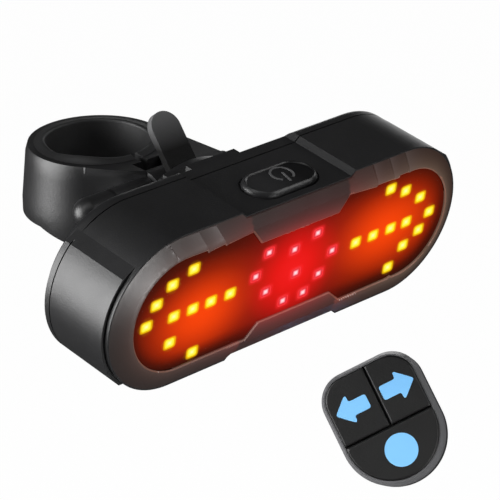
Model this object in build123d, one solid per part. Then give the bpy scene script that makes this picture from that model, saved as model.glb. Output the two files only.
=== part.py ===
from build123d import *
import math
import os

# A rear turn signal light on a hinged seat-post clamp, with its small remote.
# Origin on the axis of the clamped post, at half the height of the clamp ring.
# +Z runs up the post, the lens faces -Y, and +X is to the right of someone who looks at the lens.

# Driving sizes of the light body, in its own upright frame: X along it, Y back, Z up,
# with the origin in the middle of the plane of the lights.
BODY_HALF = 58.0
BODY_RISE = 20.7
BODY_FRONT = 1.4
BODY_SEAM = 21.0
BODY_BACK = 25.0
BODY_WALL = 2.5
BACK_WALL = 2.0
SEAM_WIDTH = 0.35
SEAM_DEPTH = 0.4
BACK_ROUND = 2.2
LIGHT_REACH = 72.66
LIGHT_DROP = 2.6
LIGHT_ANGLE = 9.0

# Middle panel, set back from the body, and the raised pads at the two ends
PANEL_HALF = 17.5
PANEL_DEPTH = 1.3
PANEL_STEP_RUN = 1.4
PANEL_WALL = 2.0
PAD_PROUD = 0.9
PAD_TOP_DROP = 6.9
PAD_LOW_RISE = 4.9
PAD_FRONT = 2.6
PAD_BACK = 24.0
PAD_REACH = 10.0
PAD_CREASE_END = 4.1
PAD_SLOPE = 0.63

# Opening in front, its bezel and the lens
BEZEL_END = 5.6
BEZEL_SIDE = 5.5
TOP_TAB_HALF = 13.0
TOP_TAB_RUN = 3.5
TOP_TAB_EDGE = 10.5
LOW_TAB_HALF = 12.0
LOW_TAB_RUN = 4.0
LOW_TAB_EDGE = 12.0
BEZEL_FRONT = -0.3
BEZEL_LIP = 0.5
BEZEL_MARGIN = 0.4
BEZEL_LAND = 0.7
LENS_THICK = 0.9
LENS_FLANGE = 0.5
LENS_OVERLAP = 1.2
LENS_GAP = 0.2
FLANGE_THICK = 1.0

# Circuit board and lights
BOARD_THICK = 1.2
BOARD_END_GAP = 0.7
BOARD_PANEL_GAP = 0.3
LED_SIDE = 3.6
LED_ROUND = 0.7
LED_TOP = 0.8
CHIP_SIDE = 7.0
CHIP_THICK = 1.0
RADIO_LENGTH = 16.0
RADIO_WIDTH = 11.0
RADIO_THICK = 2.2

# Power button in the top panel
BUTTON_X = 0.7
BUTTON_Y = 9.3
BUTTON_HOLE_HALF = 11.25
BUTTON_HOLE_RISE = 6.0
BUTTON_CAP_HALF = 10.25
BUTTON_CAP_RISE = 5.0
BUTTON_PROUD = 0.5
BUTTON_TRAVEL = 0.6
BUTTON_FLANGE = 0.45
BUTTON_FLANGE_THICK = 0.9
BUTTON_STEM = 1.5
BUTTON_STEM_Y = 6.2
BUTTON_GAP = 0.2
BUTTON_SEAL_STAND = 0.2
STEM_PLAY = 0.1
SWITCH_LENGTH = 6.0
SWITCH_DEPTH = 4.6
SWITCH_HEIGHT = 4.0
SWITCH_TOP = 13.4
SWITCH_PLUNGER = 0.6

# Charging socket and its rubber flap, in the bottom panel
USB_WIDTH = 8.94
USB_DEPTH = 3.2
USB_LENGTH = 7.3
USB_WALL = 0.35
USB_TONGUE = 0.7
USB_HOLE_GAP = 0.35
FLAP_HALF = 7.8
FLAP_FRONT = 2.8
FLAP_LENGTH = 8.0
FLAP_THICK = 1.1
FLAP_NUB = 0.8
FLAP_GAP = 0.15
NUB_GAP = 0.25

# Battery, its pad, plug and lead
CELL_LENGTH = 48.0
CELL_HEIGHT = 26.0
CELL_THICK = 5.5
CELL_BACK = 20.8
CELL_ROUND = 1.5
PAD_LENGTH = 42.0
PAD_HEIGHT = 18.0
PLUG_X = 29.5
PLUG_LENGTH = 6.0
PLUG_HEIGHT = 4.5
PLUG_THICK = 3.5
LEAD_RADIUS = 0.6
LEAD_SPACING = 2.0
LEAD_BEND = 3.0

# Screws and the bosses that they enter
COVER_SCREW_END = 12.0
COVER_SCREW_SIDE = 7.1
BOSS_RADIUS = 3.0
BOSS_START = 4.4
SCREW_RADIUS = 1.2
SCREW_HEAD = 2.2
SCREW_HEAD_THICK = 1.4
SCREW_LENGTH = 12.0
SCREW_SEAT = 0.6
SCREW_SLOT = 0.6
SCREW_SLOT_DEPTH = 0.7
POST_END = 21.8
POST_Z = 9.0
POST_RADIUS = 2.0
SEAL_INSET = 1.55
SEAL_WIDTH = 0.7
SEAL_DEPTH = 0.6
SEAL_GAP = 0.05

# Slide rail on the back, and the holder's channel that it runs in
RAIL_BASE_HALF = 12.5
RAIL_BASE_THICK = 2.0
RAIL_HALF = 15.0
RAIL_NECK_HALF = 4.5
RAIL_NECK = 3.0
RAIL_HEAD_HALF = 8.0
RAIL_HEAD = 2.5
RAIL_SCREW_SIDE = 2.3
RAIL_SCREW_END = 3.0
RAIL_SCREW_LENGTH = 4.6
RAIL_SCREW_RADIUS = 0.9
RAIL_SCREW_HEAD = 1.7
RAIL_SCREW_HEAD_THICK = 0.9
SLIDE_GAP = 0.2
CHANNEL_HALF = 12.0
CHANNEL_WALL = 3.3
CHANNEL_LIP = 2.2
CHANNEL_TOP = 12.0
CHANNEL_FLOOR = 1.6

# Clamp ring round the seat post
POST_BORE = 13.6
LINER_THICK = 2.3
LINER_GAP = 0.1
LINER_STAND = 0.7
RING_TOP = 9.1
RING_LOW = 9.1
RIM_RADIUS = 18.1
SHOULDER_RADIUS = 18.7
SHOULDER_DROP = 2.0
SKIRT_RADIUS = 19.9
SKIRT_RISE = 3.5
SPLIT_WIDTH = 2.0

# Neck of the clamp: a right cheek, a left cheek and the slot between them
PIVOT_Y = -24.0
PIVOT_Z = 3.4
CHEEK_RADIUS = 11.0
RIGHT_CHEEK = 18.3
LEFT_CHEEK = 15.0
SLOT_LEFT = 4.2
SLOT_RIGHT = 5.2
SLOT_BACK = 18.4
NECK_BOTTOM = 16.0
NECK_FRONT = 22.0
NECK_LEAVE_X = 14.5
NECK_LEAVE_Y = 11.8
NEAR_MID_X = 9.0
NEAR_MID_Y = 19.8
BARREL_RADIUS = 4.0
BARREL_END = 16.0
WASHER_THICK = 0.8
WASHER_RADIUS = 4.0
BOLT_RADIUS = 2.0
BOLT_GAP = 0.06
BOLT_HEAD = 3.5
BOLT_HEAD_LENGTH = 3.6
BOLT_SOCKET = 1.5
BOLT_SOCKET_DEPTH = 2.0
BOLT_INTO_CAP = 6.0
CAP_END = 27.5

# Holder: plate, hinge knuckle, web, and the release latch on its pin
PLATE_BACK = -35.5
PLATE_THICK = 2.8
PLATE_TOP = 14.4
PLATE_SHOULDER = 11.4
PLATE_BOTTOM = 17.0
KNUCKLE_RADIUS = 5.2
WEB_TOP = 1.1
WEB_BOTTOM = 8.6
LATCH_X = 0.5
LATCH_Y = -33.2
LATCH_Z = 1.9
LATCH_HALF = 2.9
LATCH_HUB = 2.0
LATCH_PIN = 1.0
LATCH_PIN_GAP = 0.06
EAR_THICK = 1.4
EAR_BACK = -31.2
EAR_TOP = 3.8
ARM_THICK = 2.0
TONGUE_HALF = 4.5
TONGUE_THICK = 2.0
TONGUE_FOOT = 9.7
TONGUE_TIP_Y = -23.0
TONGUE_TIP_Z = 23.2
NIB_TIP = -42.5
NIB_TOP = 9.2
NIB_BOTTOM = 7.0
WINDOW_GAP = 0.3
WINDOW_BELOW = 1.0
WINDOW_ABOVE = 1.8
GROOVE_GAP = 0.4
GROOVE_DEPTH = 1.6
GROOVE_TOP = 8.6

# Remote: its own frame has X across the face, Y up it and Z out of it, at the buttons' faces
REMOTE_X = 43.5
REMOTE_Y = -63.5
REMOTE_Z = -64.5
REMOTE_AZIMUTH = -54.6
REMOTE_TILT = 30.8
REMOTE_ROLL = 31.6
CASE_HALF = 14.1
CASE_TOP = 17.0
CASE_ROUND_Y = 3.4
CASE_CORNER = 8.0
CASE_RIM = 1.3
CASE_BEVEL = 0.9
CASE_BEVEL_DEPTH = 2.6
CASE_DEPTH = 6.4
CASE_WALL = 1.2
BASE_DEPTH = 4.6
BASE_WALL = 1.4
CASE_FLOOR = 1.0
KEY_PROUD = 0.5
KEY_THICK = 2.0
KEY_GAP = 0.25
KEY_TRAVEL = 0.5
KEY_PLAY = 0.1
KEY_SPLIT_X = 0.9
KEY_SPLIT_Y = -1.8
KEY_REST = 0.6
KEY_STEM = 1.4
MARK_DEPTH = 0.25
MARK_PROUD = 0.05
ARROW_HALF = 4.8
ARROW_HEAD = 4.7
ARROW_HEAD_RISE = 4.3
ARROW_SHAFT_RISE = 2.0
LEFT_MARK_X = -6.5
LEFT_MARK_Y = 6.9
RIGHT_MARK_X = 7.1
RIGHT_MARK_Y = 6.9
ROUND_MARK_X = 0.5
ROUND_MARK_Y = -8.7
ROUND_MARK_RADIUS = 4.5
REMOTE_BOARD_THICK = 1.0
REMOTE_BOARD_GAP = 0.25
DOME_SIDE = 4.0
DOME_THICK = 1.2
DOME_ROUND = 0.25
COIN_RADIUS = 10.0
COIN_THICK = 3.2
COIN_Y = 0.8
COIN_GAP = 0.2
CLIP_WIDTH = 5.0
CLIP_THICK = 0.3
REMOTE_SCREW_X = 10.6
REMOTE_SCREW_TOP = 10.4
REMOTE_SCREW_LOW = -9.0
REMOTE_SCREW_RADIUS = 0.8
REMOTE_SCREW_HEAD = 1.4
REMOTE_SCREW_HEAD_THICK = 0.8
REMOTE_SCREW_LENGTH = 4.4
REMOTE_BOSS = 1.7
REMOTE_SEAL_WIDTH = 0.5
REMOTE_SEAL_DEPTH = 0.5
BAR_RADIUS = 11.1
SADDLE_HALF = 8.0
SADDLE_WALL = 1.2
SADDLE_ANGLE = 55.0
STRAP_THICK = 1.8

# One overrun serves every cut
OVERRUN = 5.0

# Places of the lights, as shares of the opening's half length and half height
LEFT_ARROW_SHARES = [
    (-0.911, 0.013), (-0.748, 0.0), (-0.635, 0.0), (-0.525, 0.0), (-0.407, 0.0),
    (-0.861, 0.342), (-0.776, 0.599), (-0.654, 0.743), (-0.757, -0.474), (-0.609, -0.829),
]
RIGHT_ARROW_SHARES = [
    (0.909, 0.026), (0.750, 0.0), (0.641, 0.0), (0.521, 0.0), (0.403, 0.0),
    (0.825, 0.395), (0.710, 0.638), (0.600, 0.789), (0.851, -0.263), (0.752, -0.454), (0.666, -0.783),
]
RED_SHARES = [
    (0.128, 0.493), (-0.183, 0.487), (-0.015, 0.349), (0.244, 0.033), (0.013, -0.118),
    (0.170, -0.316), (-0.252, 0.125), (-0.174, -0.250), (0.080, -0.566), (-0.051, -0.566),
]

# Depths, heights and places that follow from the sizes above
OPENING_HALF = BODY_HALF - BEZEL_END
OPENING_RISE = BODY_RISE - BEZEL_SIDE
PAD_TOP = BODY_RISE - PAD_TOP_DROP
PAD_BOTTOM = BODY_RISE - PAD_LOW_RISE
PAD_INNER = BODY_HALF - PAD_REACH
PAD_CREASE_X = BODY_HALF - PAD_CREASE_END
COVER_SCREW_X = BODY_HALF - COVER_SCREW_END
COVER_SCREW_Z = BODY_RISE - COVER_SCREW_SIDE
BOARD_HALF = BODY_HALF - BODY_WALL - BOARD_END_GAP
POST_X = BOARD_HALF - POST_END
RAIL_SCREW_X = RAIL_BASE_HALF - RAIL_SCREW_SIDE
RAIL_SCREW_Z = RAIL_HALF - RAIL_SCREW_END
FLANGE_BACK = BODY_FRONT + FLANGE_THICK
BOARD_FRONT = FLANGE_BACK
BOARD_BACK = BOARD_FRONT + BOARD_THICK
COVER_INNER = BODY_BACK - BACK_WALL
PANEL_RISE = BODY_RISE - PANEL_DEPTH
PANEL_INNER = PANEL_RISE - PANEL_WALL
BOARD_RISE = PANEL_INNER - BOARD_PANEL_GAP
SCREW_SEAT_Y = COVER_INNER + SCREW_SEAT
LENS_BACK = BEZEL_FRONT + BEZEL_LIP + LENS_FLANGE
RAIL_NECK_END = BODY_BACK + RAIL_BASE_THICK + RAIL_NECK
RAIL_BACK = RAIL_NECK_END + RAIL_HEAD
CHANNEL_INNER = RAIL_BACK + SLIDE_GAP
CHANNEL_BACK = CHANNEL_INNER + CHANNEL_WALL
CHANNEL_LIP_BACK = RAIL_NECK_END - SLIDE_GAP
CHANNEL_FRONT = CHANNEL_LIP_BACK - CHANNEL_LIP
LINER_OUTER = POST_BORE + LINER_THICK
RING_BORE = LINER_OUTER + LINER_GAP

# Depths inside the remote that follow from its sizes
KEY_BACK = KEY_PROUD - KEY_THICK
FLOOR_FRONT = KEY_BACK - KEY_REST
FLOOR_BACK = FLOOR_FRONT - CASE_FLOOR
REMOTE_BOARD_FRONT = FLOOR_BACK - DOME_THICK
REMOTE_BOARD_BACK = REMOTE_BOARD_FRONT - REMOTE_BOARD_THICK
COIN_FRONT = REMOTE_BOARD_BACK - COIN_GAP
COIN_BACK = COIN_FRONT - COIN_THICK
CASE_BACK = -CASE_DEPTH
BASE_BACK = CASE_BACK - BASE_DEPTH
BAR_Z = BASE_BACK - SADDLE_WALL - BAR_RADIUS

LIGHT_PLACE = Location((0, -LIGHT_REACH, -LIGHT_DROP), (LIGHT_ANGLE, 0, 0))


def save(name, solid, place=None):
    """Move a node from its own frame to the whole part's frame and write it."""
    placed = solid if place is None else place * solid
    export_step(placed, f"parts/{name}.step")


def wall_plane(depth):
    """Upright plane at a depth, seen from the front: X right, Z up."""
    return Plane(origin=(0, depth, 0), x_dir=(1, 0, 0), z_dir=(0, -1, 0))


def slab(outline, front, back):
    """Outline drawn in X and Z, filled between two depths."""
    return extrude(wall_plane(back) * outline, amount=back - front)


def block(x_range, y_range, z_range):
    """Box between three pairs of limits."""
    spans = [limit[1] - limit[0] for limit in (x_range, y_range, z_range)]
    centre = [(limit[0] + limit[1]) / 2 for limit in (x_range, y_range, z_range)]
    return Pos(*centre) * Box(*spans)


def rod_y(radius, x, z, front, back):
    """Round rod along Y."""
    return slab(Pos(x, z) * Circle(radius), front, back)


def rod_x(radius, left, right, y, z):
    """Round rod along X."""
    plane = Plane(origin=(left, y, z), x_dir=(0, 1, 0), z_dir=(1, 0, 0))
    return extrude(plane * Circle(radius), amount=right - left)


def rod_z(radius, x, y, low, high):
    """Round rod along Z."""
    return extrude(Plane(origin=(x, y, low)) * Circle(radius), amount=high - low)


def stadium(half, rise):
    """Long outline with two half-round ends."""
    return SlotOverall(2 * half, 2 * rise)


def polygon(points):
    """Face inside a closed run of straight lines."""
    return make_face(Polyline(*points, close=True))


def mirrored_places(x, z):
    """The four places at plus and minus x and z."""
    return [(side * x, level * z) for side in (-1, 1) for level in (-1, 1)]


def panel_cutter(extra, front, back):
    """What the set-back middle panel takes off the top and the bottom of the body."""
    low = PANEL_RISE - extra
    high = BODY_RISE + OVERRUN
    wide = PANEL_HALF + PANEL_STEP_RUN * (high - low) / PANEL_DEPTH
    half = [(-PANEL_HALF, low), (PANEL_HALF, low), (wide, high), (-wide, high)]
    top = slab(polygon(half), front, back)
    bottom = slab(polygon([(x, -z) for x, z in half]), front, back)
    return top + bottom


def end_pads(front, back, inset=0):
    """Raised pads round both ends, from a crease with a slope above it down to a lower edge."""
    proud = PAD_PROUD - inset
    skin = slab(stadium(BODY_HALF + proud, BODY_RISE + proud), front, back)
    reach = BODY_HALF + OVERRUN
    inner_top = PAD_TOP + PAD_SLOPE * (PAD_CREASE_X - PAD_INNER)
    outer_top = PAD_TOP - PAD_SLOPE * (reach - PAD_CREASE_X)
    edge = [(PAD_INNER, -PAD_BOTTOM), (reach, -PAD_BOTTOM), (reach, outer_top), (PAD_INNER, inner_top)]
    right = slab(polygon(edge), front, back)
    left = slab(polygon([(-x, z) for x, z in edge]), front, back)
    return skin & (left + right)


def opening_outline(gap):
    """Opening of the bezel with its top and bottom tabs, drawn in by a gap."""
    face = stadium(OPENING_HALF - gap, OPENING_RISE - gap)
    high = OPENING_RISE + OVERRUN
    top_edge = TOP_TAB_EDGE - gap
    low_edge = LOW_TAB_EDGE - gap
    top_wide = TOP_TAB_HALF + gap + TOP_TAB_RUN * (high - top_edge) / (OPENING_RISE - TOP_TAB_EDGE)
    low_wide = LOW_TAB_HALF + gap + LOW_TAB_RUN * (high - low_edge) / (OPENING_RISE - LOW_TAB_EDGE)
    top_half = TOP_TAB_HALF + gap
    low_half = LOW_TAB_HALF + gap
    face -= polygon([(-top_half, top_edge), (top_half, top_edge), (top_wide, high), (-top_wide, high)])
    face -= polygon([(-low_half, -low_edge), (low_half, -low_edge), (low_wide, -high), (-low_wide, -high)])
    return face


def screw(x, z, tip, seat, radius, head_radius, head_thick):
    """Screw along Y with a slotted cylinder head behind its seat."""
    body = rod_y(radius, x, z, tip, seat)
    body += rod_y(head_radius, x, z, seat, seat + head_thick)
    slot_front = seat + head_thick - SCREW_SLOT_DEPTH
    slot_half = SCREW_SLOT / 2
    slot_z = (z - slot_half, z + slot_half)
    return body - block((x - head_radius, x + head_radius), (slot_front, seat + head_thick), slot_z)


def make_front_shell():
    shell = slab(stadium(BODY_HALF, BODY_RISE), BODY_FRONT, BODY_SEAM)
    shell += end_pads(PAD_FRONT, BODY_SEAM)
    shell -= slab(stadium(BODY_HALF - BODY_WALL, BODY_RISE - BODY_WALL), FLANGE_BACK, BODY_SEAM)
    backing_half = PANEL_HALF + PANEL_WALL
    for side in (-1, 1):
        low, high = sorted((side * PANEL_INNER, side * PANEL_RISE))
        shell += block((-backing_half, backing_half), (BODY_FRONT, BODY_SEAM), (low, high))
    shell -= slab(stadium(OPENING_HALF, OPENING_RISE), BODY_FRONT, FLANGE_BACK)
    rim_outline = stadium(OPENING_HALF + LENS_OVERLAP - LENS_GAP, OPENING_RISE + LENS_OVERLAP - LENS_GAP)
    shell += slab(rim_outline - stadium(OPENING_HALF, OPENING_RISE), LENS_BACK, BODY_FRONT)
    shell -= panel_cutter(0, BODY_FRONT - OVERRUN, BODY_SEAM)
    for x, z in mirrored_places(COVER_SCREW_X, COVER_SCREW_Z):
        shell += rod_y(BOSS_RADIUS, x, z, BOSS_START, BODY_SEAM)
        shell -= rod_y(SCREW_RADIUS, x, z, SCREW_SEAT_Y - SCREW_LENGTH, BODY_SEAM)
    shell -= seal_ring(0)
    hole = SlotOverall(2 * BUTTON_HOLE_HALF, 2 * BUTTON_HOLE_RISE)
    shell -= extrude(Plane(origin=(BUTTON_X, BUTTON_Y, PANEL_INNER)) * hole, amount=PANEL_WALL)
    shell -= flap_pocket()
    return shell


def seal_ring(gap):
    """Ring of the cover seal, drawn in by a gap to leave it free in its groove."""
    outer = SEAL_INSET - gap
    inner = SEAL_INSET + SEAL_WIDTH
    ring = stadium(BODY_HALF - outer - 2 * gap, BODY_RISE - outer - 2 * gap)
    ring -= stadium(BODY_HALF - inner + gap, BODY_RISE - inner + gap)
    return slab(ring, BODY_SEAM - SEAL_DEPTH, BODY_SEAM)


def flap_pocket():
    """Pocket for the flap in the bottom panel, and the hole in front of the socket."""
    x_range = (-FLAP_HALF - FLAP_GAP, FLAP_HALF + FLAP_GAP)
    y_range = (FLAP_FRONT - FLAP_GAP, FLAP_FRONT + FLAP_LENGTH + FLAP_GAP)
    pocket = block(x_range, y_range, (-PANEL_RISE, -PANEL_RISE + FLAP_THICK))
    half = USB_WIDTH / 2 + USB_HOLE_GAP
    front = BOARD_BACK - USB_HOLE_GAP
    back = BOARD_BACK + USB_DEPTH + USB_HOLE_GAP
    return pocket + block((-half, half), (front, back), (-PANEL_RISE, -PANEL_INNER))


def make_lens_bezel():
    back_half = BODY_HALF - BEZEL_MARGIN
    back_rise = BODY_RISE - BEZEL_MARGIN
    front_half = OPENING_HALF + BEZEL_LAND
    front_rise = OPENING_RISE + BEZEL_LAND
    back_face = wall_plane(BODY_FRONT) * stadium(back_half, back_rise)
    front_face = wall_plane(BEZEL_FRONT) * stadium(front_half, front_rise)
    bezel = loft([back_face, front_face], ruled=True)
    bezel -= slab(opening_outline(0), BEZEL_FRONT - OVERRUN, BODY_FRONT + OVERRUN)
    rebate = stadium(OPENING_HALF + LENS_OVERLAP, OPENING_RISE + LENS_OVERLAP)
    bezel -= slab(rebate, BEZEL_FRONT + BEZEL_LIP, BODY_FRONT + OVERRUN)
    bezel -= panel_cutter(BEZEL_MARGIN, BEZEL_FRONT - OVERRUN, BODY_FRONT + OVERRUN)
    return bezel


def make_lens():
    flange = stadium(OPENING_HALF + LENS_OVERLAP - LENS_GAP, OPENING_RISE + LENS_OVERLAP - LENS_GAP)
    plate = slab(flange, LENS_BACK - LENS_FLANGE, LENS_BACK)
    return plate + slab(opening_outline(LENS_GAP), LENS_BACK - LENS_THICK, LENS_BACK - LENS_FLANGE)


def make_leds(shares):
    """Square light bodies standing on the board, one solid each."""
    square = RectangleRounded(LED_SIDE, LED_SIDE, LED_ROUND)
    places = [(x * OPENING_HALF, z * OPENING_RISE) for x, z in shares]
    return Compound(children=[slab(Pos(x, z) * square, LED_TOP, BOARD_FRONT) for x, z in places])


def make_led_board():
    return slab(stadium(BOARD_HALF, BOARD_RISE), BOARD_FRONT, BOARD_BACK)


def make_control_chip():
    centre = SWITCH_LENGTH + CHIP_SIDE
    return block((-centre - CHIP_SIDE, -centre), (BOARD_BACK, BOARD_BACK + CHIP_THICK), (-CHIP_SIDE, 0))


def make_radio_module():
    left = SWITCH_LENGTH + CHIP_SIDE
    module = block((left, left + RADIO_LENGTH), (BOARD_BACK, BOARD_BACK + RADIO_THICK), (-RADIO_WIDTH, 0))
    return module


def make_power_switch():
    half = SWITCH_LENGTH / 2
    x_range = (BUTTON_X - half, BUTTON_X + half)
    y_range = (BOARD_BACK, BOARD_BACK + SWITCH_DEPTH)
    body = block(x_range, y_range, (SWITCH_TOP - SWITCH_HEIGHT, SWITCH_TOP))
    return body + rod_z(BUTTON_STEM, BUTTON_X, BUTTON_STEM_Y, SWITCH_TOP, SWITCH_TOP + SWITCH_PLUNGER)


def make_button_seal():
    hole = SlotOverall(2 * BUTTON_HOLE_HALF, 2 * BUTTON_HOLE_RISE)
    inner_half = BUTTON_CAP_HALF + BUTTON_GAP
    inner_rise = BUTTON_CAP_RISE + BUTTON_GAP
    ring = hole - SlotOverall(2 * inner_half, 2 * inner_rise)
    height = PANEL_WALL + BUTTON_SEAL_STAND
    return extrude(Plane(origin=(BUTTON_X, BUTTON_Y, PANEL_INNER)) * ring, amount=height)


def make_power_button():
    cap = SlotOverall(2 * BUTTON_CAP_HALF, 2 * BUTTON_CAP_RISE)
    flange_half = BUTTON_CAP_HALF + BUTTON_FLANGE
    flange_rise = BUTTON_CAP_RISE + BUTTON_FLANGE
    flange_top = PANEL_INNER - BUTTON_GAP
    flange_low = flange_top - BUTTON_FLANGE_THICK
    top = PANEL_RISE + BUTTON_PROUD
    button = extrude(Plane(origin=(BUTTON_X, BUTTON_Y, flange_low)) * cap, amount=top - flange_low)
    flange = SlotOverall(2 * flange_half, 2 * flange_rise)
    button += extrude(Plane(origin=(BUTTON_X, BUTTON_Y, flange_low)) * flange, amount=BUTTON_FLANGE_THICK)
    stem_tip = SWITCH_TOP + SWITCH_PLUNGER + BUTTON_TRAVEL + STEM_PLAY
    return button + rod_z(BUTTON_STEM, BUTTON_X, BUTTON_STEM_Y, stem_tip, flange_low)


def make_usb_socket():
    half = USB_WIDTH / 2
    mouth = -BOARD_RISE
    end = mouth + USB_LENGTH
    shell = block((-half, half), (BOARD_BACK, BOARD_BACK + USB_DEPTH), (mouth, end))
    inner_half = half - USB_WALL
    inner_y = (BOARD_BACK + USB_WALL, BOARD_BACK + USB_DEPTH - USB_WALL)
    shell -= block((-inner_half, inner_half), inner_y, (mouth, end - USB_WALL))
    tongue_y = BOARD_BACK + (USB_DEPTH - USB_TONGUE) / 2
    tongue_half = inner_half - 2 * USB_TONGUE
    shell += block((-tongue_half, tongue_half), (tongue_y, tongue_y + USB_TONGUE), (mouth + USB_TONGUE, end))
    return shell


def make_usb_flap():
    y_range = (FLAP_FRONT, FLAP_FRONT + FLAP_LENGTH)
    flap = block((-FLAP_HALF, FLAP_HALF), y_range, (-PANEL_RISE, -PANEL_RISE + FLAP_THICK))
    half = USB_WIDTH / 2 - NUB_GAP
    nub_y = (BOARD_BACK + NUB_GAP, BOARD_BACK + USB_DEPTH - NUB_GAP)
    nub_low = -PANEL_RISE + FLAP_THICK
    return flap + block((-half, half), nub_y, (nub_low, nub_low + FLAP_NUB))


def make_battery_cell():
    outline = RectangleRounded(CELL_LENGTH, CELL_HEIGHT, CELL_ROUND)
    return slab(outline, CELL_BACK - CELL_THICK, CELL_BACK)


def make_battery_pad():
    return slab(Rectangle(PAD_LENGTH, PAD_HEIGHT), CELL_BACK, COVER_INNER)


def make_battery_plug():
    half = PLUG_HEIGHT / 2
    x_range = (-PLUG_X - PLUG_LENGTH, -PLUG_X)
    return block(x_range, (BOARD_BACK, BOARD_BACK + PLUG_THICK), (-half, half))


def make_battery_lead():
    """Two wires from the end of the cell to the plug on the board."""
    wires = []
    start_x = -CELL_LENGTH / 2
    depth = CELL_BACK - CELL_THICK / 2
    end_x = -PLUG_X - PLUG_LENGTH / 2
    for side in (-1, 1):
        level = side * LEAD_SPACING / 2
        corner = (end_x, depth, level)
        start = (start_x, depth, level)
        plug_end = (end_x, BOARD_BACK + PLUG_THICK, level)
        path = FilletPolyline(start, corner, plug_end, radius=LEAD_BEND)
        section = Plane(origin=start, x_dir=(0, 1, 0), z_dir=(-1, 0, 0)) * Circle(LEAD_RADIUS)
        wires.append(sweep(section, path=path))
    return Compound(children=wires)


def seam_groove():
    """Fine groove round the body where the back cover meets the shell."""
    end = BODY_SEAM + SEAM_WIDTH
    kept = slab(stadium(BODY_HALF - SEAM_DEPTH, BODY_RISE - SEAM_DEPTH), BODY_SEAM, end)
    kept += end_pads(BODY_SEAM, end, SEAM_DEPTH)
    kept -= panel_cutter(SEAM_DEPTH, BODY_SEAM, end)
    reach = BODY_HALF + OVERRUN
    return block((-reach, reach), (BODY_SEAM, end), (-reach, reach)) - kept


def make_back_cover():
    cover = slab(stadium(BODY_HALF, BODY_RISE), BODY_SEAM, BODY_BACK)
    back_edges = cover.faces().sort_by(Axis.Y)[-1].edges()
    cover = fillet(back_edges, BACK_ROUND)
    cover += end_pads(BODY_SEAM, PAD_BACK - BACK_ROUND / 2)
    cover -= slab(stadium(BODY_HALF - BODY_WALL, BODY_RISE - BODY_WALL), BODY_SEAM, COVER_INNER)
    cover -= panel_cutter(0, BODY_SEAM, BODY_BACK + OVERRUN)
    cover -= seam_groove()
    for x, z in mirrored_places(COVER_SCREW_X, COVER_SCREW_Z):
        cover += rod_y(BOSS_RADIUS, x, z, BODY_SEAM, COVER_INNER)
        cover -= rod_y(SCREW_RADIUS, x, z, BODY_SEAM, BODY_BACK)
        cover -= rod_y(SCREW_HEAD, x, z, SCREW_SEAT_Y, BODY_BACK)
    for x, z in mirrored_places(POST_X, POST_Z):
        cover += rod_y(POST_RADIUS, x, z, BOARD_BACK, COVER_INNER)
    for x, z in mirrored_places(RAIL_SCREW_X, RAIL_SCREW_Z):
        cover += rod_y(POST_RADIUS, x, z, BODY_SEAM, COVER_INNER)
        cover -= rod_y(RAIL_SCREW_RADIUS, x, z, BODY_SEAM, BODY_BACK)
    return cover


def make_back_screws():
    tip = SCREW_SEAT_Y - SCREW_LENGTH
    return Compound(children=[
        screw(x, z, tip, SCREW_SEAT_Y, SCREW_RADIUS, SCREW_HEAD, SCREW_HEAD_THICK)
        for x, z in mirrored_places(COVER_SCREW_X, COVER_SCREW_Z)
    ])


def make_slide_rail():
    base = Rectangle(2 * RAIL_BASE_HALF, 2 * RAIL_HALF)
    rail = slab(base, BODY_BACK, BODY_BACK + RAIL_BASE_THICK)
    rail += slab(Rectangle(2 * RAIL_NECK_HALF, 2 * RAIL_HALF), BODY_BACK, RAIL_NECK_END)
    rail += slab(Rectangle(2 * RAIL_HEAD_HALF, 2 * RAIL_HALF), RAIL_NECK_END, RAIL_BACK)
    groove_half = LATCH_HALF + GROOVE_GAP
    x_range = (LATCH_X - groove_half, LATCH_X + groove_half)
    rail -= block(x_range, (RAIL_BACK - GROOVE_DEPTH, RAIL_BACK), (-RAIL_HALF, GROOVE_TOP))
    seat = BODY_BACK + RAIL_BASE_THICK - RAIL_SCREW_HEAD_THICK
    for x, z in mirrored_places(RAIL_SCREW_X, RAIL_SCREW_Z):
        rail -= rod_y(RAIL_SCREW_RADIUS, x, z, BODY_BACK, seat)
        rail -= rod_y(RAIL_SCREW_HEAD, x, z, seat, RAIL_BACK)
    return rail


def make_rail_screws():
    seat = BODY_BACK + RAIL_BASE_THICK - RAIL_SCREW_HEAD_THICK
    tip = seat - RAIL_SCREW_LENGTH
    return Compound(children=[
        screw(x, z, tip, seat, RAIL_SCREW_RADIUS, RAIL_SCREW_HEAD, RAIL_SCREW_HEAD_THICK)
        for x, z in mirrored_places(RAIL_SCREW_X, RAIL_SCREW_Z)
    ])


def make_clamp_band():
    """C-shaped band round the post with two cheeks in front, split in the middle."""
    skirt_z = -RING_LOW + SKIRT_RISE
    profile = Polyline(
        (RING_BORE, -NECK_BOTTOM), (SKIRT_RADIUS, -NECK_BOTTOM), (SKIRT_RADIUS, skirt_z),
        (SHOULDER_RADIUS, RING_TOP - SHOULDER_DROP), (RIM_RADIUS, RING_TOP), (RING_BORE, RING_TOP),
        close=True,
    )
    band = revolve(Plane.XZ * make_face(profile), axis=Axis.Z)
    band += make_neck()
    band &= side_envelope()
    full_height = (-NECK_BOTTOM - OVERRUN, RING_TOP + OVERRUN)
    band -= rod_z(RING_BORE, 0, 0, *full_height)
    slot_y = (PIVOT_Y - CHEEK_RADIUS - OVERRUN, -SLOT_BACK)
    band -= block((-SLOT_LEFT, SLOT_RIGHT), slot_y, full_height)
    split = SPLIT_WIDTH / 2
    band -= block((-split, split), (-SLOT_BACK - OVERRUN, 0), full_height)
    band -= rod_x(BOLT_RADIUS + BOLT_GAP, -BARREL_END, RIGHT_CHEEK, PIVOT_Y, PIVOT_Z)
    return band


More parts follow.
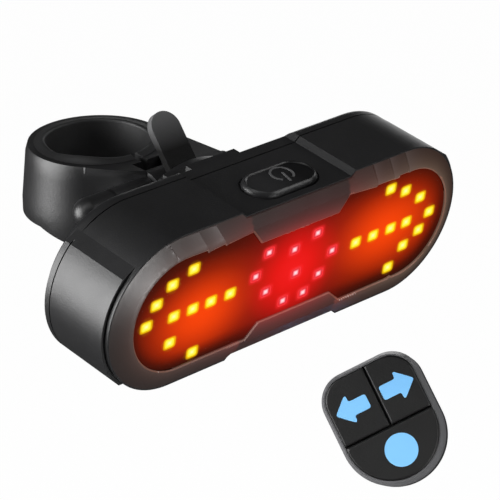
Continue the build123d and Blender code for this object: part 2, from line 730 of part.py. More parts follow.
def neck_outline(growth):
    """Plan of the neck: straight on the right, drawn in towards the slot on the left."""
    return polygon([
        (-SHOULDER_RADIUS * growth, 0), (-NECK_LEAVE_X * growth, -NECK_LEAVE_Y),
        (-NEAR_MID_X * growth, -NEAR_MID_Y), (-SLOT_LEFT * growth, PIVOT_Y),
        (RIGHT_CHEEK, PIVOT_Y - CHEEK_RADIUS), (RIGHT_CHEEK, 0),
    ])


def make_neck():
    """Both cheeks with the barrel for the bolt on the left one."""
    shoulder = Plane(origin=(0, 0, RING_TOP - SHOULDER_DROP)) * neck_outline(1)
    top = Plane(origin=(0, 0, RING_TOP)) * neck_outline(RIM_RADIUS / SHOULDER_RADIUS)
    base = Plane(origin=(0, 0, -NECK_BOTTOM)) * neck_outline(SKIRT_RADIUS / SHOULDER_RADIUS)
    neck = loft([shoulder, top], ruled=True) + loft([base, shoulder], ruled=True)
    cheek_y = (PIVOT_Y - BARREL_RADIUS, -SLOT_BACK)
    neck += block((-LEFT_CHEEK, -SLOT_LEFT), cheek_y, (-NECK_BOTTOM, PIVOT_Z))
    return neck + rod_x(BARREL_RADIUS, -BARREL_END, -SLOT_LEFT, PIVOT_Y, PIVOT_Z)


def side_envelope():
    """Side view of the band: round about the pivot in front, sloping up to the back underneath."""
    lift = math.asin((RING_TOP - PIVOT_Z) / CHEEK_RADIUS)
    start = (PIVOT_Y - CHEEK_RADIUS * math.cos(lift), RING_TOP)
    middle = (PIVOT_Y - CHEEK_RADIUS, PIVOT_Z)
    end = (PIVOT_Y, PIVOT_Z - CHEEK_RADIUS)
    back = SKIRT_RADIUS + OVERRUN
    rest = Polyline(
        end, (-NECK_FRONT, -NECK_BOTTOM), (0, -RING_LOW), (back, -RING_LOW), (back, RING_TOP), start,
    )
    plane = Plane(origin=(-back, 0, 0), x_dir=(0, 1, 0), z_dir=(1, 0, 0))
    return extrude(plane * make_face([ThreePointArc(start, middle, end), rest]), amount=2 * back)


def make_clamp_liner():
    liner = rod_z(LINER_OUTER, 0, 0, -RING_LOW, RING_TOP + LINER_STAND)
    liner -= rod_z(POST_BORE, 0, 0, -RING_LOW, RING_TOP + LINER_STAND)
    split = SPLIT_WIDTH / 2
    return liner - block((-split, split), (-LINER_OUTER - OVERRUN, 0), (-RING_LOW, RING_TOP + OVERRUN))


def make_pivot_bolt():
    left = -BARREL_END - WASHER_THICK - BOLT_INTO_CAP
    head_start = RIGHT_CHEEK + WASHER_THICK
    head_end = head_start + BOLT_HEAD_LENGTH
    bolt = rod_x(BOLT_RADIUS, left, head_start, PIVOT_Y, PIVOT_Z)
    bolt += rod_x(BOLT_HEAD, head_start, head_end, PIVOT_Y, PIVOT_Z)
    socket_plane = Plane(origin=(head_end, PIVOT_Y, PIVOT_Z), x_dir=(0, 1, 0), z_dir=(1, 0, 0))
    bolt -= extrude(socket_plane * RegularPolygon(BOLT_SOCKET, 6), amount=-BOLT_SOCKET_DEPTH)
    return bolt


def make_pivot_cap_nut():
    """Round cap with a half-ball end and a blind bore for the bolt."""
    start = -BARREL_END - WASHER_THICK
    centre = -CAP_END + BARREL_RADIUS
    cap = rod_x(BARREL_RADIUS, centre, start, PIVOT_Y, PIVOT_Z)
    cap += Pos(centre, PIVOT_Y, PIVOT_Z) * Sphere(BARREL_RADIUS)
    return cap - rod_x(BOLT_RADIUS, start - BOLT_INTO_CAP, start, PIVOT_Y, PIVOT_Z)


def make_pivot_washers():
    bore = BOLT_RADIUS + BOLT_GAP
    washers = []
    for left in (-BARREL_END - WASHER_THICK, RIGHT_CHEEK):
        washer = rod_x(WASHER_RADIUS, left, left + WASHER_THICK, PIVOT_Y, PIVOT_Z)
        washers.append(washer - rod_x(bore, left, left + WASHER_THICK, PIVOT_Y, PIVOT_Z))
    return Compound(children=washers)


def make_slide_holder():
    """Plate behind the light, the channel for the rail, the knuckle on the bolt and the latch's ears."""
    plate = slab(plate_outline(), PLATE_BACK - PLATE_THICK, PLATE_BACK)
    holder = plate + LIGHT_PLACE * channel_body() - LIGHT_PLACE * channel_cavity()
    left = -SLOT_LEFT + SLIDE_GAP
    right = SLOT_RIGHT - SLIDE_GAP
    holder += rod_x(KNUCKLE_RADIUS, left, right, PIVOT_Y, PIVOT_Z)
    web = block((left, right), (PLATE_BACK, PIVOT_Y), (-WEB_BOTTOM, -WEB_TOP))
    holder += web
    for ear_left in (left, right - EAR_THICK):
        ear = block((ear_left, ear_left + EAR_THICK), (PLATE_BACK, EAR_BACK), (-WEB_TOP, EAR_TOP))
        holder += ear - rod_x(LATCH_PIN, ear_left, ear_left + EAR_THICK, LATCH_Y, LATCH_Z)
    holder -= rod_x(BOLT_RADIUS + BOLT_GAP, left, right, PIVOT_Y, PIVOT_Z)
    window_half = LATCH_HALF + WINDOW_GAP
    window_x = (LATCH_X - window_half, LATCH_X + window_half)
    window_z = (NIB_BOTTOM - WINDOW_BELOW, NIB_TOP + WINDOW_ABOVE)
    return holder - block(window_x, (NIB_TIP - OVERRUN, PLATE_BACK), window_z)


def plate_outline():
    """Upright plate with a crowned top edge."""
    corners = Polyline(
        (-CHANNEL_HALF, PLATE_SHOULDER), (-CHANNEL_HALF, -PLATE_BOTTOM), (CHANNEL_HALF, -PLATE_BOTTOM),
        (CHANNEL_HALF, PLATE_SHOULDER),
    )
    crown = ThreePointArc((CHANNEL_HALF, PLATE_SHOULDER), (0, PLATE_TOP), (-CHANNEL_HALF, PLATE_SHOULDER))
    return make_face([corners, crown])


def channel_body():
    """Block that the rail's channel is cut in, in the light's upright frame."""
    low = -RAIL_HALF - SLIDE_GAP - CHANNEL_FLOOR
    return block((-CHANNEL_HALF, CHANNEL_HALF), (CHANNEL_FRONT, CHANNEL_BACK), (low, CHANNEL_TOP))


def channel_cavity():
    """Room for the rail's head and neck, open at the top and in front."""
    height = (-RAIL_HALF - SLIDE_GAP, PLATE_TOP + RAIL_HALF)
    head_half = RAIL_HEAD_HALF + SLIDE_GAP
    cavity = block((-head_half, head_half), (CHANNEL_LIP_BACK, CHANNEL_INNER), height)
    neck_half = RAIL_NECK_HALF + SLIDE_GAP
    return cavity + block((-neck_half, neck_half), (CHANNEL_FRONT, CHANNEL_LIP_BACK), height)


def make_release_latch():
    """Tongue, arm and hub on the latch pin, with the nib that reaches into the rail's groove."""
    left = LATCH_X - LATCH_HALF
    right = LATCH_X + LATCH_HALF
    latch = rod_x(LATCH_HUB, left, right, LATCH_Y, LATCH_Z)
    arm_y = (LATCH_Y - ARM_THICK / 2, LATCH_Y + ARM_THICK / 2)
    latch += block((left, right), arm_y, (LATCH_Z, TONGUE_FOOT + ARM_THICK / 2))
    latch += block((left, right), (NIB_TIP, LATCH_Y), (NIB_BOTTOM, NIB_TOP))
    rise_y = TONGUE_TIP_Y - LATCH_Y
    rise_z = TONGUE_TIP_Z - TONGUE_FOOT
    length = math.hypot(rise_y, rise_z)
    plane = Plane(origin=(LATCH_X, LATCH_Y, TONGUE_FOOT), x_dir=(1, 0, 0), z_dir=(0, -rise_z, rise_y))
    straight = length - TONGUE_HALF
    outline = Pos(0, straight / 2) * Rectangle(2 * TONGUE_HALF, straight)
    outline += Pos(0, straight) * Circle(TONGUE_HALF)
    half_thick = TONGUE_THICK / 2
    latch += extrude(plane.offset(-half_thick) * outline, amount=TONGUE_THICK)
    return latch - rod_x(LATCH_PIN + LATCH_PIN_GAP, left, right, LATCH_Y, LATCH_Z)


def make_latch_pin():
    return rod_x(LATCH_PIN, -SLOT_LEFT + SLIDE_GAP, SLOT_RIGHT - SLIDE_GAP, LATCH_Y, LATCH_Z)


def direction(azimuth, tilt):
    """Unit vector that looks back at someone who stands at an azimuth and a height angle."""
    around = math.radians(azimuth)
    up = math.radians(tilt)
    return Vector(math.sin(around) * math.cos(up), -math.cos(around) * math.cos(up), math.sin(up))


def remote_plane():
    """Plane of the remote's face, turned in its own plane by the roll."""
    normal = direction(REMOTE_AZIMUTH, REMOTE_TILT)
    level = normal.cross(Vector(0, 0, 1)) * -1
    upright = normal.cross(level)
    roll = math.radians(REMOTE_ROLL)
    across = level.normalized() * math.cos(roll) + upright.normalized() * math.sin(roll)
    return Plane(origin=(REMOTE_X, REMOTE_Y, REMOTE_Z), x_dir=across, z_dir=normal)


REMOTE_PLACE = remote_plane().location


def level_slab(outline, low, high):
    """Outline drawn in X and Y, filled between two heights."""
    return extrude(Plane(origin=(0, 0, low)) * outline, amount=high - low)


def case_outline(inset):
    """Outline of the remote: square with two round corners above, half round below."""
    half = CASE_HALF - inset
    top = CASE_TOP - inset
    height = top + CASE_ROUND_Y
    upper = Pos(0, top - height / 2) * Rectangle(2 * half, height)
    upper = fillet(upper.vertices().group_by(Axis.Y)[-1], CASE_CORNER - inset)
    return upper + Pos(0, -CASE_ROUND_Y) * Circle(half)


def remote_screw_places():
    """Four places beside the coin cell."""
    return [(side * REMOTE_SCREW_X, y) for side in (-1, 1) for y in (REMOTE_SCREW_TOP, REMOTE_SCREW_LOW)]


def key_outlines():
    """Left, right and round key: the face inside the rim, parted by two gaps."""
    face = case_outline(CASE_RIM + KEY_GAP)
    reach = CASE_TOP + OVERRUN
    upper = Pos(0, KEY_SPLIT_Y + KEY_GAP + reach / 2) * Rectangle(2 * reach, reach)
    lower = Pos(0, KEY_SPLIT_Y - KEY_GAP - reach / 2) * Rectangle(2 * reach, reach)
    left = Pos(KEY_SPLIT_X - KEY_GAP - reach / 2, 0) * Rectangle(reach, 2 * reach)
    right = Pos(KEY_SPLIT_X + KEY_GAP + reach / 2, 0) * Rectangle(reach, 2 * reach)
    return face & upper & left, face & upper & right, face & lower


def key_places():
    """Middle of each mark, where its key's stem stands too."""
    return [(LEFT_MARK_X, LEFT_MARK_Y), (RIGHT_MARK_X, RIGHT_MARK_Y), (ROUND_MARK_X, ROUND_MARK_Y)]


def arrow_outline(sign):
    """Block arrow along X that points to one side."""
    neck = ARROW_HALF - ARROW_HEAD
    points = [
        (-ARROW_HALF, -ARROW_SHAFT_RISE), (neck, -ARROW_SHAFT_RISE), (neck, -ARROW_HEAD_RISE),
        (ARROW_HALF, 0), (neck, ARROW_HEAD_RISE), (neck, ARROW_SHAFT_RISE), (-ARROW_HALF, ARROW_SHAFT_RISE),
    ]
    return polygon([(sign * x, y) for x, y in points])


def mark_outlines():
    """Left arrow, right arrow and disc, each in its place."""
    left, right, low = key_places()
    disc = Circle(ROUND_MARK_RADIUS)
    return [Pos(*left) * arrow_outline(-1), Pos(*right) * arrow_outline(1), Pos(*low) * disc]


def make_remote_keys():
    keys = []
    for outline, place, mark in zip(key_outlines(), key_places(), mark_outlines()):
        key = level_slab(outline, KEY_BACK, KEY_PROUD)
        key += level_slab(Pos(*place) * Circle(KEY_STEM), FLOOR_BACK + KEY_TRAVEL + KEY_PLAY, KEY_BACK)
        keys.append(key - level_slab(mark, KEY_PROUD - MARK_DEPTH, KEY_PROUD))
    return keys


def make_remote_marks():
    return [level_slab(mark, KEY_PROUD - MARK_DEPTH, KEY_PROUD + MARK_PROUD) for mark in mark_outlines()]


def make_remote_case():
    case = level_slab(case_outline(0), CASE_BACK, -CASE_BEVEL_DEPTH)
    wide = Plane(origin=(0, 0, -CASE_BEVEL_DEPTH)) * case_outline(0)
    case += loft([wide, case_outline(CASE_BEVEL)], ruled=True)
    case -= level_slab(case_outline(CASE_RIM), FLOOR_FRONT, 0)
    case -= level_slab(case_outline(CASE_WALL), CASE_BACK, FLOOR_BACK)
    for place in key_places():
        case -= level_slab(Pos(*place) * Circle(KEY_STEM + KEY_GAP), FLOOR_BACK, FLOOR_FRONT)
    for place in remote_screw_places():
        boss = level_slab(Pos(*place) * Circle(REMOTE_BOSS), CASE_BACK, FLOOR_BACK)
        tip = BASE_BACK + REMOTE_SCREW_HEAD_THICK + REMOTE_SCREW_LENGTH
        case += boss - level_slab(Pos(*place) * Circle(REMOTE_SCREW_RADIUS), CASE_BACK, tip)
    return case


def make_remote_base():
    base = level_slab(case_outline(0), BASE_BACK, CASE_BACK)
    base -= level_slab(case_outline(BASE_WALL), BASE_BACK + BASE_WALL, CASE_BACK)
    for place in remote_screw_places():
        base += level_slab(Pos(*place) * Circle(REMOTE_BOSS), BASE_BACK, CASE_BACK)
        base -= level_slab(Pos(*place) * Circle(REMOTE_SCREW_RADIUS), BASE_BACK, CASE_BACK)
        head = Pos(*place) * Circle(REMOTE_SCREW_HEAD)
        base -= level_slab(head, BASE_BACK, BASE_BACK + REMOTE_SCREW_HEAD_THICK)
    return base - remote_seal_ring()


def remote_seal_ring():
    """Seal between the two halves of the remote, in the middle of the base's wall."""
    outer = (BASE_WALL - REMOTE_SEAL_WIDTH) / 2
    ring = case_outline(outer) - case_outline(outer + REMOTE_SEAL_WIDTH)
    return level_slab(ring, CASE_BACK - REMOTE_SEAL_DEPTH, CASE_BACK)


def make_remote_board():
    board = level_slab(case_outline(CASE_WALL + REMOTE_BOARD_GAP), REMOTE_BOARD_BACK, REMOTE_BOARD_FRONT)
    notch = Circle(REMOTE_BOSS + REMOTE_BOARD_GAP)
    for place in remote_screw_places():
        board -= level_slab(Pos(*place) * notch, REMOTE_BOARD_BACK, REMOTE_BOARD_FRONT)
    return board


def make_remote_switches():
    square = RectangleRounded(DOME_SIDE, DOME_SIDE, DOME_ROUND)
    return Compound(children=[
        level_slab(Pos(*place) * square, REMOTE_BOARD_FRONT, FLOOR_BACK) for place in key_places()
    ])


def make_remote_cell():
    return level_slab(Pos(0, COIN_Y) * Circle(COIN_RADIUS), COIN_BACK, COIN_FRONT)


def make_remote_cell_clip():
    """Spring bridge over the cell with a leg down to the board on each side."""
    leg_in = COIN_RADIUS + CLIP_THICK
    leg_out = leg_in + CLIP_THICK
    width = (COIN_Y - CLIP_WIDTH / 2, COIN_Y + CLIP_WIDTH / 2)
    clip = block((-leg_out, leg_out), width, (COIN_BACK - CLIP_THICK, COIN_BACK))
    for left in (-leg_out, leg_in):
        clip += block((left, left + CLIP_THICK), width, (COIN_BACK - CLIP_THICK, REMOTE_BOARD_BACK))
    return clip


def make_remote_screws():
    screws = []
    seat = BASE_BACK + REMOTE_SCREW_HEAD_THICK
    for x, y in remote_screw_places():
        body = rod_z(REMOTE_SCREW_RADIUS, x, y, seat, seat + REMOTE_SCREW_LENGTH)
        body += rod_z(REMOTE_SCREW_HEAD, x, y, BASE_BACK, seat)
        slot = REMOTE_SCREW_RADIUS / 2
        reach = REMOTE_SCREW_HEAD
        slot_z = (BASE_BACK, BASE_BACK + REMOTE_SCREW_HEAD_THICK / 2)
        screws.append(body - block((x - reach, x + reach), (y - slot / 2, y + slot / 2), slot_z))
    return Compound(children=screws)


def saddle_foot():
    """Height where the saddle ends and the strap begins."""
    return BAR_Z + BAR_RADIUS * math.cos(math.radians(SADDLE_ANGLE))


def make_remote_saddle():
    rise = BAR_RADIUS * math.sin(math.radians(SADDLE_ANGLE)) + STRAP_THICK
    saddle = block((-SADDLE_HALF, SADDLE_HALF), (-rise, rise), (saddle_foot(), BASE_BACK))
    return saddle - rod_x(BAR_RADIUS, -SADDLE_HALF, SADDLE_HALF, 0, BAR_Z)


def make_remote_strap():
    strap = rod_x(BAR_RADIUS + STRAP_THICK, -SADDLE_HALF, SADDLE_HALF, 0, BAR_Z)
    strap -= rod_x(BAR_RADIUS, -SADDLE_HALF, SADDLE_HALF, 0, BAR_Z)
    reach = BAR_RADIUS + OVERRUN
    return strap & block((-SADDLE_HALF, SADDLE_HALF), (-reach, reach), (BAR_Z - reach, saddle_foot()))


def build_light():
    """Every node of the light itself, in the light's upright frame."""
    return {
        "front_shell": make_front_shell(),
        "lens_bezel": make_lens_bezel(),
        "lens": make_lens(),
        "led_board": make_led_board(),
        "amber_leds_left": make_leds(LEFT_ARROW_SHARES),
        "amber_leds_right": make_leds(RIGHT_ARROW_SHARES),
        "red_leds": make_leds(RED_SHARES),
        "control_chip": make_control_chip(),
        "radio_module": make_radio_module(),
        "power_switch": make_power_switch(),
        "power_button": make_power_button(),
        "button_seal": make_button_seal(),
        "usb_socket": make_usb_socket(),
        "usb_flap": make_usb_flap(),
        "battery_cell": make_battery_cell(),
        "battery_pad": make_battery_pad(),
        "battery_plug": make_battery_plug(),
        "battery_lead": make_battery_lead(),
        "back_cover": make_back_cover(),
        "back_cover_seal": seal_ring(SEAL_GAP),
        "back_screws": make_back_screws(),
        "slide_rail": make_slide_rail(),
        "rail_screws": make_rail_screws(),
    }


def build_clamp():
    """Every node of the clamp and the holder, in the whole part's frame."""
    return {
        "clamp_band": make_clamp_band(),
        "clamp_liner": make_clamp_liner(),
        "pivot_bolt": make_pivot_bolt(),
        "pivot_cap_nut": make_pivot_cap_nut(),
        "pivot_washers": make_pivot_washers(),
        "slide_holder": make_slide_holder(),
        "release_latch": make_release_latch(),
        "latch_pin": make_latch_pin(),
    }


def build_remote():
    """Every node of the remote, in the remote's own frame."""
    left_key, right_key, round_key = make_remote_keys()
    left_mark, right_mark, round_mark = make_remote_marks()
    return {
        "remote_case": make_remote_case(),
        "remote_base": make_remote_base(),
        "remote_seal": remote_seal_ring(),
        "remote_left_button": left_key,
        "remote_right_button": right_key,
        "remote_round_button": round_key,
        "remote_left_mark": left_mark,
        "remote_right_mark": right_mark,
        "remote_round_mark": round_mark,
        "remote_board": make_remote_board(),
        "remote_switches": make_remote_switches(),
        "remote_cell": make_remote_cell(),
        "remote_cell_clip": make_remote_cell_clip(),
        "remote_screws": make_remote_screws(),
        "remote_saddle": make_remote_saddle(),
        "remote_strap": make_remote_strap(),
    }


os.makedirs("parts", exist_ok=True)
for node, solid in build_light().items():
    save(node, solid, LIGHT_PLACE)
for node, solid in build_clamp().items():
    save(node, solid)
for node, solid in build_remote().items():
    save(node, solid, REMOTE_PLACE)
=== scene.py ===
import math
import bmesh
import bpy
from mathutils import Matrix, Vector
from mathutils.geometry import delaunay_2d_cdt


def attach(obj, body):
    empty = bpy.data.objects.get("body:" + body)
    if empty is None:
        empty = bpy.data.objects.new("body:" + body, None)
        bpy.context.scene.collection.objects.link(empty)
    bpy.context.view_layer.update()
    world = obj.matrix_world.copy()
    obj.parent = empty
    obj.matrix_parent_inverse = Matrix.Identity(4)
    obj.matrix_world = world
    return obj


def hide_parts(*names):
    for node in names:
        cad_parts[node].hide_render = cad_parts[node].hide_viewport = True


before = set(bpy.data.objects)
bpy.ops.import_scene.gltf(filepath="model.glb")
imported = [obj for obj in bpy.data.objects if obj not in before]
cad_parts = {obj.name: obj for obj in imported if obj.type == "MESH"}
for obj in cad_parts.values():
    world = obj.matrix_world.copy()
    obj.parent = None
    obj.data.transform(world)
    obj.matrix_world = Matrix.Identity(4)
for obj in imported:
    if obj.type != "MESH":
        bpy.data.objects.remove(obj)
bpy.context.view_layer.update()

# Shapes are drawn in millimetres and scaled to metres when they are placed. The room, the lamps and
# the materials' grain are in metres.
MM = 0.001

# Camera of the photograph
CAMERA_PLACE = (-382.5, -458.66, 250.1)
CAMERA_AZIMUTH = -43.61
CAMERA_ELEVATION = 24.54
CAMERA_LENS = 178.93
SENSOR_WIDTH = 36.0
CAMERA_REACH = 20.0

# Each lamp: name, azimuth from straight front, elevation, distance, size and power
LAMPS = [
    ("key_left", -122, 8, 0.9, 0.8, 16),
    ("top_soft", -40, 80, 1.0, 0.7, 1.2),
    ("fill_front", 10, 0, 1.0, 0.6, 2),
    ("under_front", 14, -20, 0.8, 0.2, 1.9),
    ("front_high", 42, 32, 1.0, 0.5, 2.5),
    ("face_soft", -95, 55, 1.2, 0.6, 2),
    ("back_low", 132, -2, 1.0, 0.45, 0.8),
    ("rim_right", 95, 20, 1.1, 0.4, 1.2),
]
LAMP_TARGET = Vector((0, -0.05, -0.01))

# Room: the floor is white to the camera and dark in reflections
FLOOR_SIZE = 12
FLOOR_LEVEL = -0.55
FLOOR_WHITE = 0.985
FLOOR_TONE = (0.9, 0.9, 0.9, 1)
FLOOR_MIRRORED = (0.08, 0.08, 0.08, 1)
WORLD_UNSEEN = 0.05

# Surface grain, as noise scales and depths
PLASTIC_GRAIN = 2600
RUBBER_GRAIN = 1500
KEY_GRAIN = 1900
FOAM_GRAIN = 900
PLASTIC_DEPTH = 0.00003
RUBBER_DEPTH = 0.00004
FOAM_DEPTH = 0.0002

# Soft edges on the clamp: width and steps, the gap that is closed first, and the angle of an edge
EDGE_WIDTH = 0.35
EDGE_STEPS = 3
WELD_GAP = 0.002
EDGE_ANGLE = 35

# The light's upright frame: X along it, Y back, Z up, from the middle of the plane of the lights
LIGHT_REACH = 72.66
LIGHT_DROP = 2.6
LIGHT_PITCH = 9.0
OPENING_HALF = 52.4
OPENING_RISE = 15.2
OPENING_SHIFT = 0.9
TOP_TAB_HALF = 13.0
TOP_TAB_SLANT = 3.2
TOP_TAB_EDGE = 11.1
TOP_TAB_SHIFT = 0.3
LOW_TAB_HALF = 12.3
LOW_TAB_SLANT = 3.8
LOW_TAB_EDGE = 11.8
LOW_TAB_SHIFT = 1.6
BODY_FRONT = 1.4
BEZEL_FRONT = -0.3
BEZEL_HALF = 57.6
BEZEL_RISE = 20.3
BEZEL_LAND = 0.7
BEZEL_EDGE = 0.3
BEZEL_STEP = 0.8
BEZEL_NOTCH = 0.4
BEZEL_SLANT = 1.4
BEZEL_THIN = 0.02
EDGE_DROP = 0.22
PANEL_HALF = 17.5
PANEL_RISE = 19.4
LENS_FRONT = -0.05
LENS_BACK = 0.25
LENS_GAP = 0.05
LENS_STEP = 0.9
LED_TOP = 0.3
AMBER_HALF = 1.58
RED_HALF = 1.95
LED_SHIFT_X = 0.36
LED_SHIFT_Z = -0.22
LED_SQUAT = 0.82
LED_CORNER = 0.4
LED_DEPTH = 1.7
LED_DOME = 0.03
LED_RINGS = 10

# Teeth along the opening's edge: place across and distance in from the edge
TOP_RIGHT_TEETH = [(25.8, 0.8), (26.1, 0.25), (33.7, 0.6), (34.0, 0)]
LOW_RIGHT_TEETH = [(36.6, 0), (36.3, 0.4), (35.0, 0)]
TOP_LEFT_TEETH = [(-30.6, 0), (-30.3, 0.75), (-25.0, 0.1), (-24.7, 0.7)]

# Power button: half length, half width and height above the panel of each level
BUTTON_PLACE = (0.7, 9.3)
CAP_LEVELS = [
    (10.75, 5.5, -1.2), (10.75, 5.5, 0.2), (10.6, 5.35, 0.6), (10.2, 4.95, 1.14), (9.95, 4.7, 1.3),
    (9.75, 4.5, 1.3), (9.6, 4.35, 1.14), (9.4, 4.15, 1.02), (6.4, 1.15, 0.96),
]
RING_LEVELS = [
    (11.25, 6.0, -1.4), (11.22, 5.97, -0.55), (11.1, 5.85, -0.4),
    (10.95, 5.7, -0.4), (10.85, 5.6, -0.5), (10.83, 5.58, -1.4),
]
# Power sign: its arc, as middle, radius, bearings and steps, and the run of its bar
SIGN_BASE = 0.94
SIGN_ARC = (2.3, 10.2, 2.9, -62, 232, 40)
SIGN_BAR = [(2.75, 10.5), (2.28, 8.4), (1.8, 6.4)]
ARC_WIDTH = 0.55
ARC_HEIGHT = 0.2
BAR_WIDTH = 0.5
BAR_HEIGHT = 0.24

# Facets on the bezel's top: where their edges leave the lens, and how far they lean on the way out
LEFT_FACETS = [-39.1, -30.4, -24.9]
LEFT_LEAN = 2.6
RIGHT_FACETS = [25.8, 31.6, 37.1]
RIGHT_LEAN = 1.0
FACET_DEPTH = 0.45
FACET_STEPS = 13
FACET_SPLIT = 0.06
LAST_FACET = 8

# Glow in the lens: middle across, middle up, width and height of each hill
AMBER_HILLS = [(-29.5, -2.4, 13.5, 9.2), (31.5, 0.3, 15.5, 9.5)]
RED_HILL = (0, -0.8, 10.5, 9.5)
SHADE_START = 10.5
SHADE_RUN = 4.5
SHADE_DEPTH = 0.52
SHADE_LEAN = 0.02

# Edges round each light, as shares of its half side
LIGHT_RINGS = (0.8, 0.95, 1.05, 1.32)
LIGHT_ROOM = 1.45
CLEAR_END = 0.91
CLEAR_FADE = 0.08
HALO_END = 1.4
HALO_FADE = 0.34
HALO_STRENGTH = {"amber": 0.85, "red": 0.36}

# Glow that the bezel takes, a row each for red, green and blue: from red lights, from amber lights,
# more from amber lights at the right, without any light, and on a facet
GLOW_REACH = 2.6
RED_SPREAD = 13
SIDE_RUN = 40
GLOW_PARTS = [
    (0.24, 0.06, 0.04, 0.007, 1),
    (0.020, 0.030, 0.035, 0.005, 0.85),
    (0.018, 0.023, 0.022, 0.0045, 0.84),
]
FACET_GLOW = 0.03

# The remote's frame: X across its face, Y up it, Z out of it
REMOTE_X = 43.5
REMOTE_Y = -63.5
REMOTE_Z = -64.5
REMOTE_AZIMUTH = -54.6
REMOTE_TILT = 30.8
REMOTE_ROLL = 31.6

CASE_HALF = 14.1
CASE_TOP = 17.0
CASE_ROUND_Y = 3.4
CASE_CORNER = 8.0
KEY_TURN = 3
KEY_RIM = 1.36
KEY_GAP = 0.2
KEY_SPLIT_X = 0.9
KEY_SPLIT_Y = -1.8
# How far in from the key's outline, and how high, each level of a key lies
KEY_LEVELS = [(0.0, -1.5), (0.0, -0.1), (0.1, 0.14), (0.36, 0.43), (0.5, 0.5), (0.58, 0.5)]
MARK_LOW = 0.3
MARK_HIGH = 0.56
MARK_CORNER = 0.7
CORNER_REACH = 1.4
DISC_RADIUS = 4.5
ARROW_HALF = 4.8
ARROW_HEAD = 4.3
ARROW_SHAFT = 2.0
ARROW_NECK = 0.1
MARK_PLACES = {"left": (-6.5, 6.9), "right": (7.1, 6.9), "round": (0.5, -8.7)}

# The clamp's liner, round the middle of the seat post
POST_BORE = 13.6
LINER_OUTER = 15.9
LINER_MIDDLE = 14.7
LIP_OUTER = 16.5
RING_TOP = 9.1
LIP_TOP = 9.7
LIP_RISE = 0.9
SPLIT_HALF = 1.0
# Each wave of the lip: its bearing, spread and height
LIP_WAVES = [(215, 26, 1.0), (150, 22, 0.45)]

LIGHT = (
    Matrix.Translation(Vector((0, -LIGHT_REACH, -LIGHT_DROP)) * MM)
    @ Matrix.Rotation(math.radians(LIGHT_PITCH), 4, "X")
    @ Matrix.Scale(MM, 4)
)


def direction(azimuth, elevation):
    """Unit vector at an azimuth from straight front and an elevation, both in degrees."""
    around, up = math.radians(azimuth), math.radians(elevation)
    level = math.cos(up)
    return Vector((math.sin(around) * level, -math.cos(around) * level, math.sin(up)))


def limited(value):
    """A value kept between 0 and 1."""
    return min(max(value, 0), 1)


def remote_matrix():
    """From the remote's own frame to the whole part's."""
    normal = direction(REMOTE_AZIMUTH, REMOTE_TILT)
    level = -normal.cross(Vector((0, 0, 1)))
    upright = normal.cross(level)
    roll = math.radians(REMOTE_ROLL)
    across = level.normalized() * math.cos(roll) + upright.normalized() * math.sin(roll)
    up = normal.cross(across)
    turn = Matrix((across, up, normal)).transposed().to_4x4()
    place = Vector((REMOTE_X, REMOTE_Y, REMOTE_Z)) * MM
    return Matrix.Translation(place) @ turn @ Matrix.Scale(MM, 4)


REMOTE = remote_matrix()

# Places of the lights, as shares of the opening's half length and half height
LEFT_ARROW_SHARES = [
    (-0.911, 0.013), (-0.748, 0.0), (-0.635, 0.0), (-0.525, 0.0), (-0.407, 0.0),
    (-0.861, 0.342), (-0.776, 0.599), (-0.654, 0.743), (-0.757, -0.474), (-0.609, -0.829),
]
RIGHT_ARROW_SHARES = [
    (0.909, 0.026), (0.750, 0.0), (0.641, 0.0), (0.521, 0.0), (0.403, 0.0),
    (0.825, 0.395), (0.710, 0.638), (0.600, 0.789), (0.851, -0.263), (0.752, -0.454),
    (0.666, -0.783),
]
RED_SHARES = [
    (0.128, 0.493), (-0.183, 0.487), (-0.015, 0.349), (0.244, 0.033), (0.013, -0.118),
    (0.170, -0.316), (-0.252, 0.125), (-0.174, -0.250), (0.080, -0.566), (-0.051, -0.566),
]


def led_places(shares):
    """Places of lights in the light's frame."""
    return [(x * OPENING_HALF + LED_SHIFT_X, z * OPENING_RISE + LED_SHIFT_Z) for x, z in shares]


def srgb(red, green, blue):
    """Linear colour of an sRGB triple from 0 to 255."""
    def channel(value):
        part = value / 255
        return part / 12.92 if part <= 0.04045 else ((part + 0.055) / 1.055) ** 2.4
    return (channel(red), channel(green), channel(blue), 1.0)


def make_camera():
    """Camera at the photograph's place and angle of view."""
    data = bpy.data.cameras.new("camera")
    data.sensor_width = SENSOR_WIDTH
    data.lens = CAMERA_LENS
    data.clip_end = CAMERA_REACH
    camera = bpy.data.objects.new("camera", data)
    camera.location = Vector(CAMERA_PLACE) * MM
    tilt, turn = math.radians(90 - CAMERA_ELEVATION), math.radians(CAMERA_AZIMUTH)
    camera.rotation_euler = (tilt, 0, turn)
    bpy.context.scene.collection.objects.link(camera)
    bpy.context.scene.camera = camera


def area_lamp(name, azimuth, elevation, distance, size, power):
    """Soft white lamp that looks at the middle of the object."""
    data = bpy.data.lights.new(name, "AREA")
    data.shape = "DISK"
    data.size = size
    data.energy = power
    lamp = bpy.data.objects.new(name, data)
    ray = direction(azimuth, elevation)
    lamp.location = LAMP_TARGET + ray * distance
    lamp.rotation_euler = ray.to_track_quat("Z", "Y").to_euler()
    bpy.context.scene.collection.objects.link(lamp)


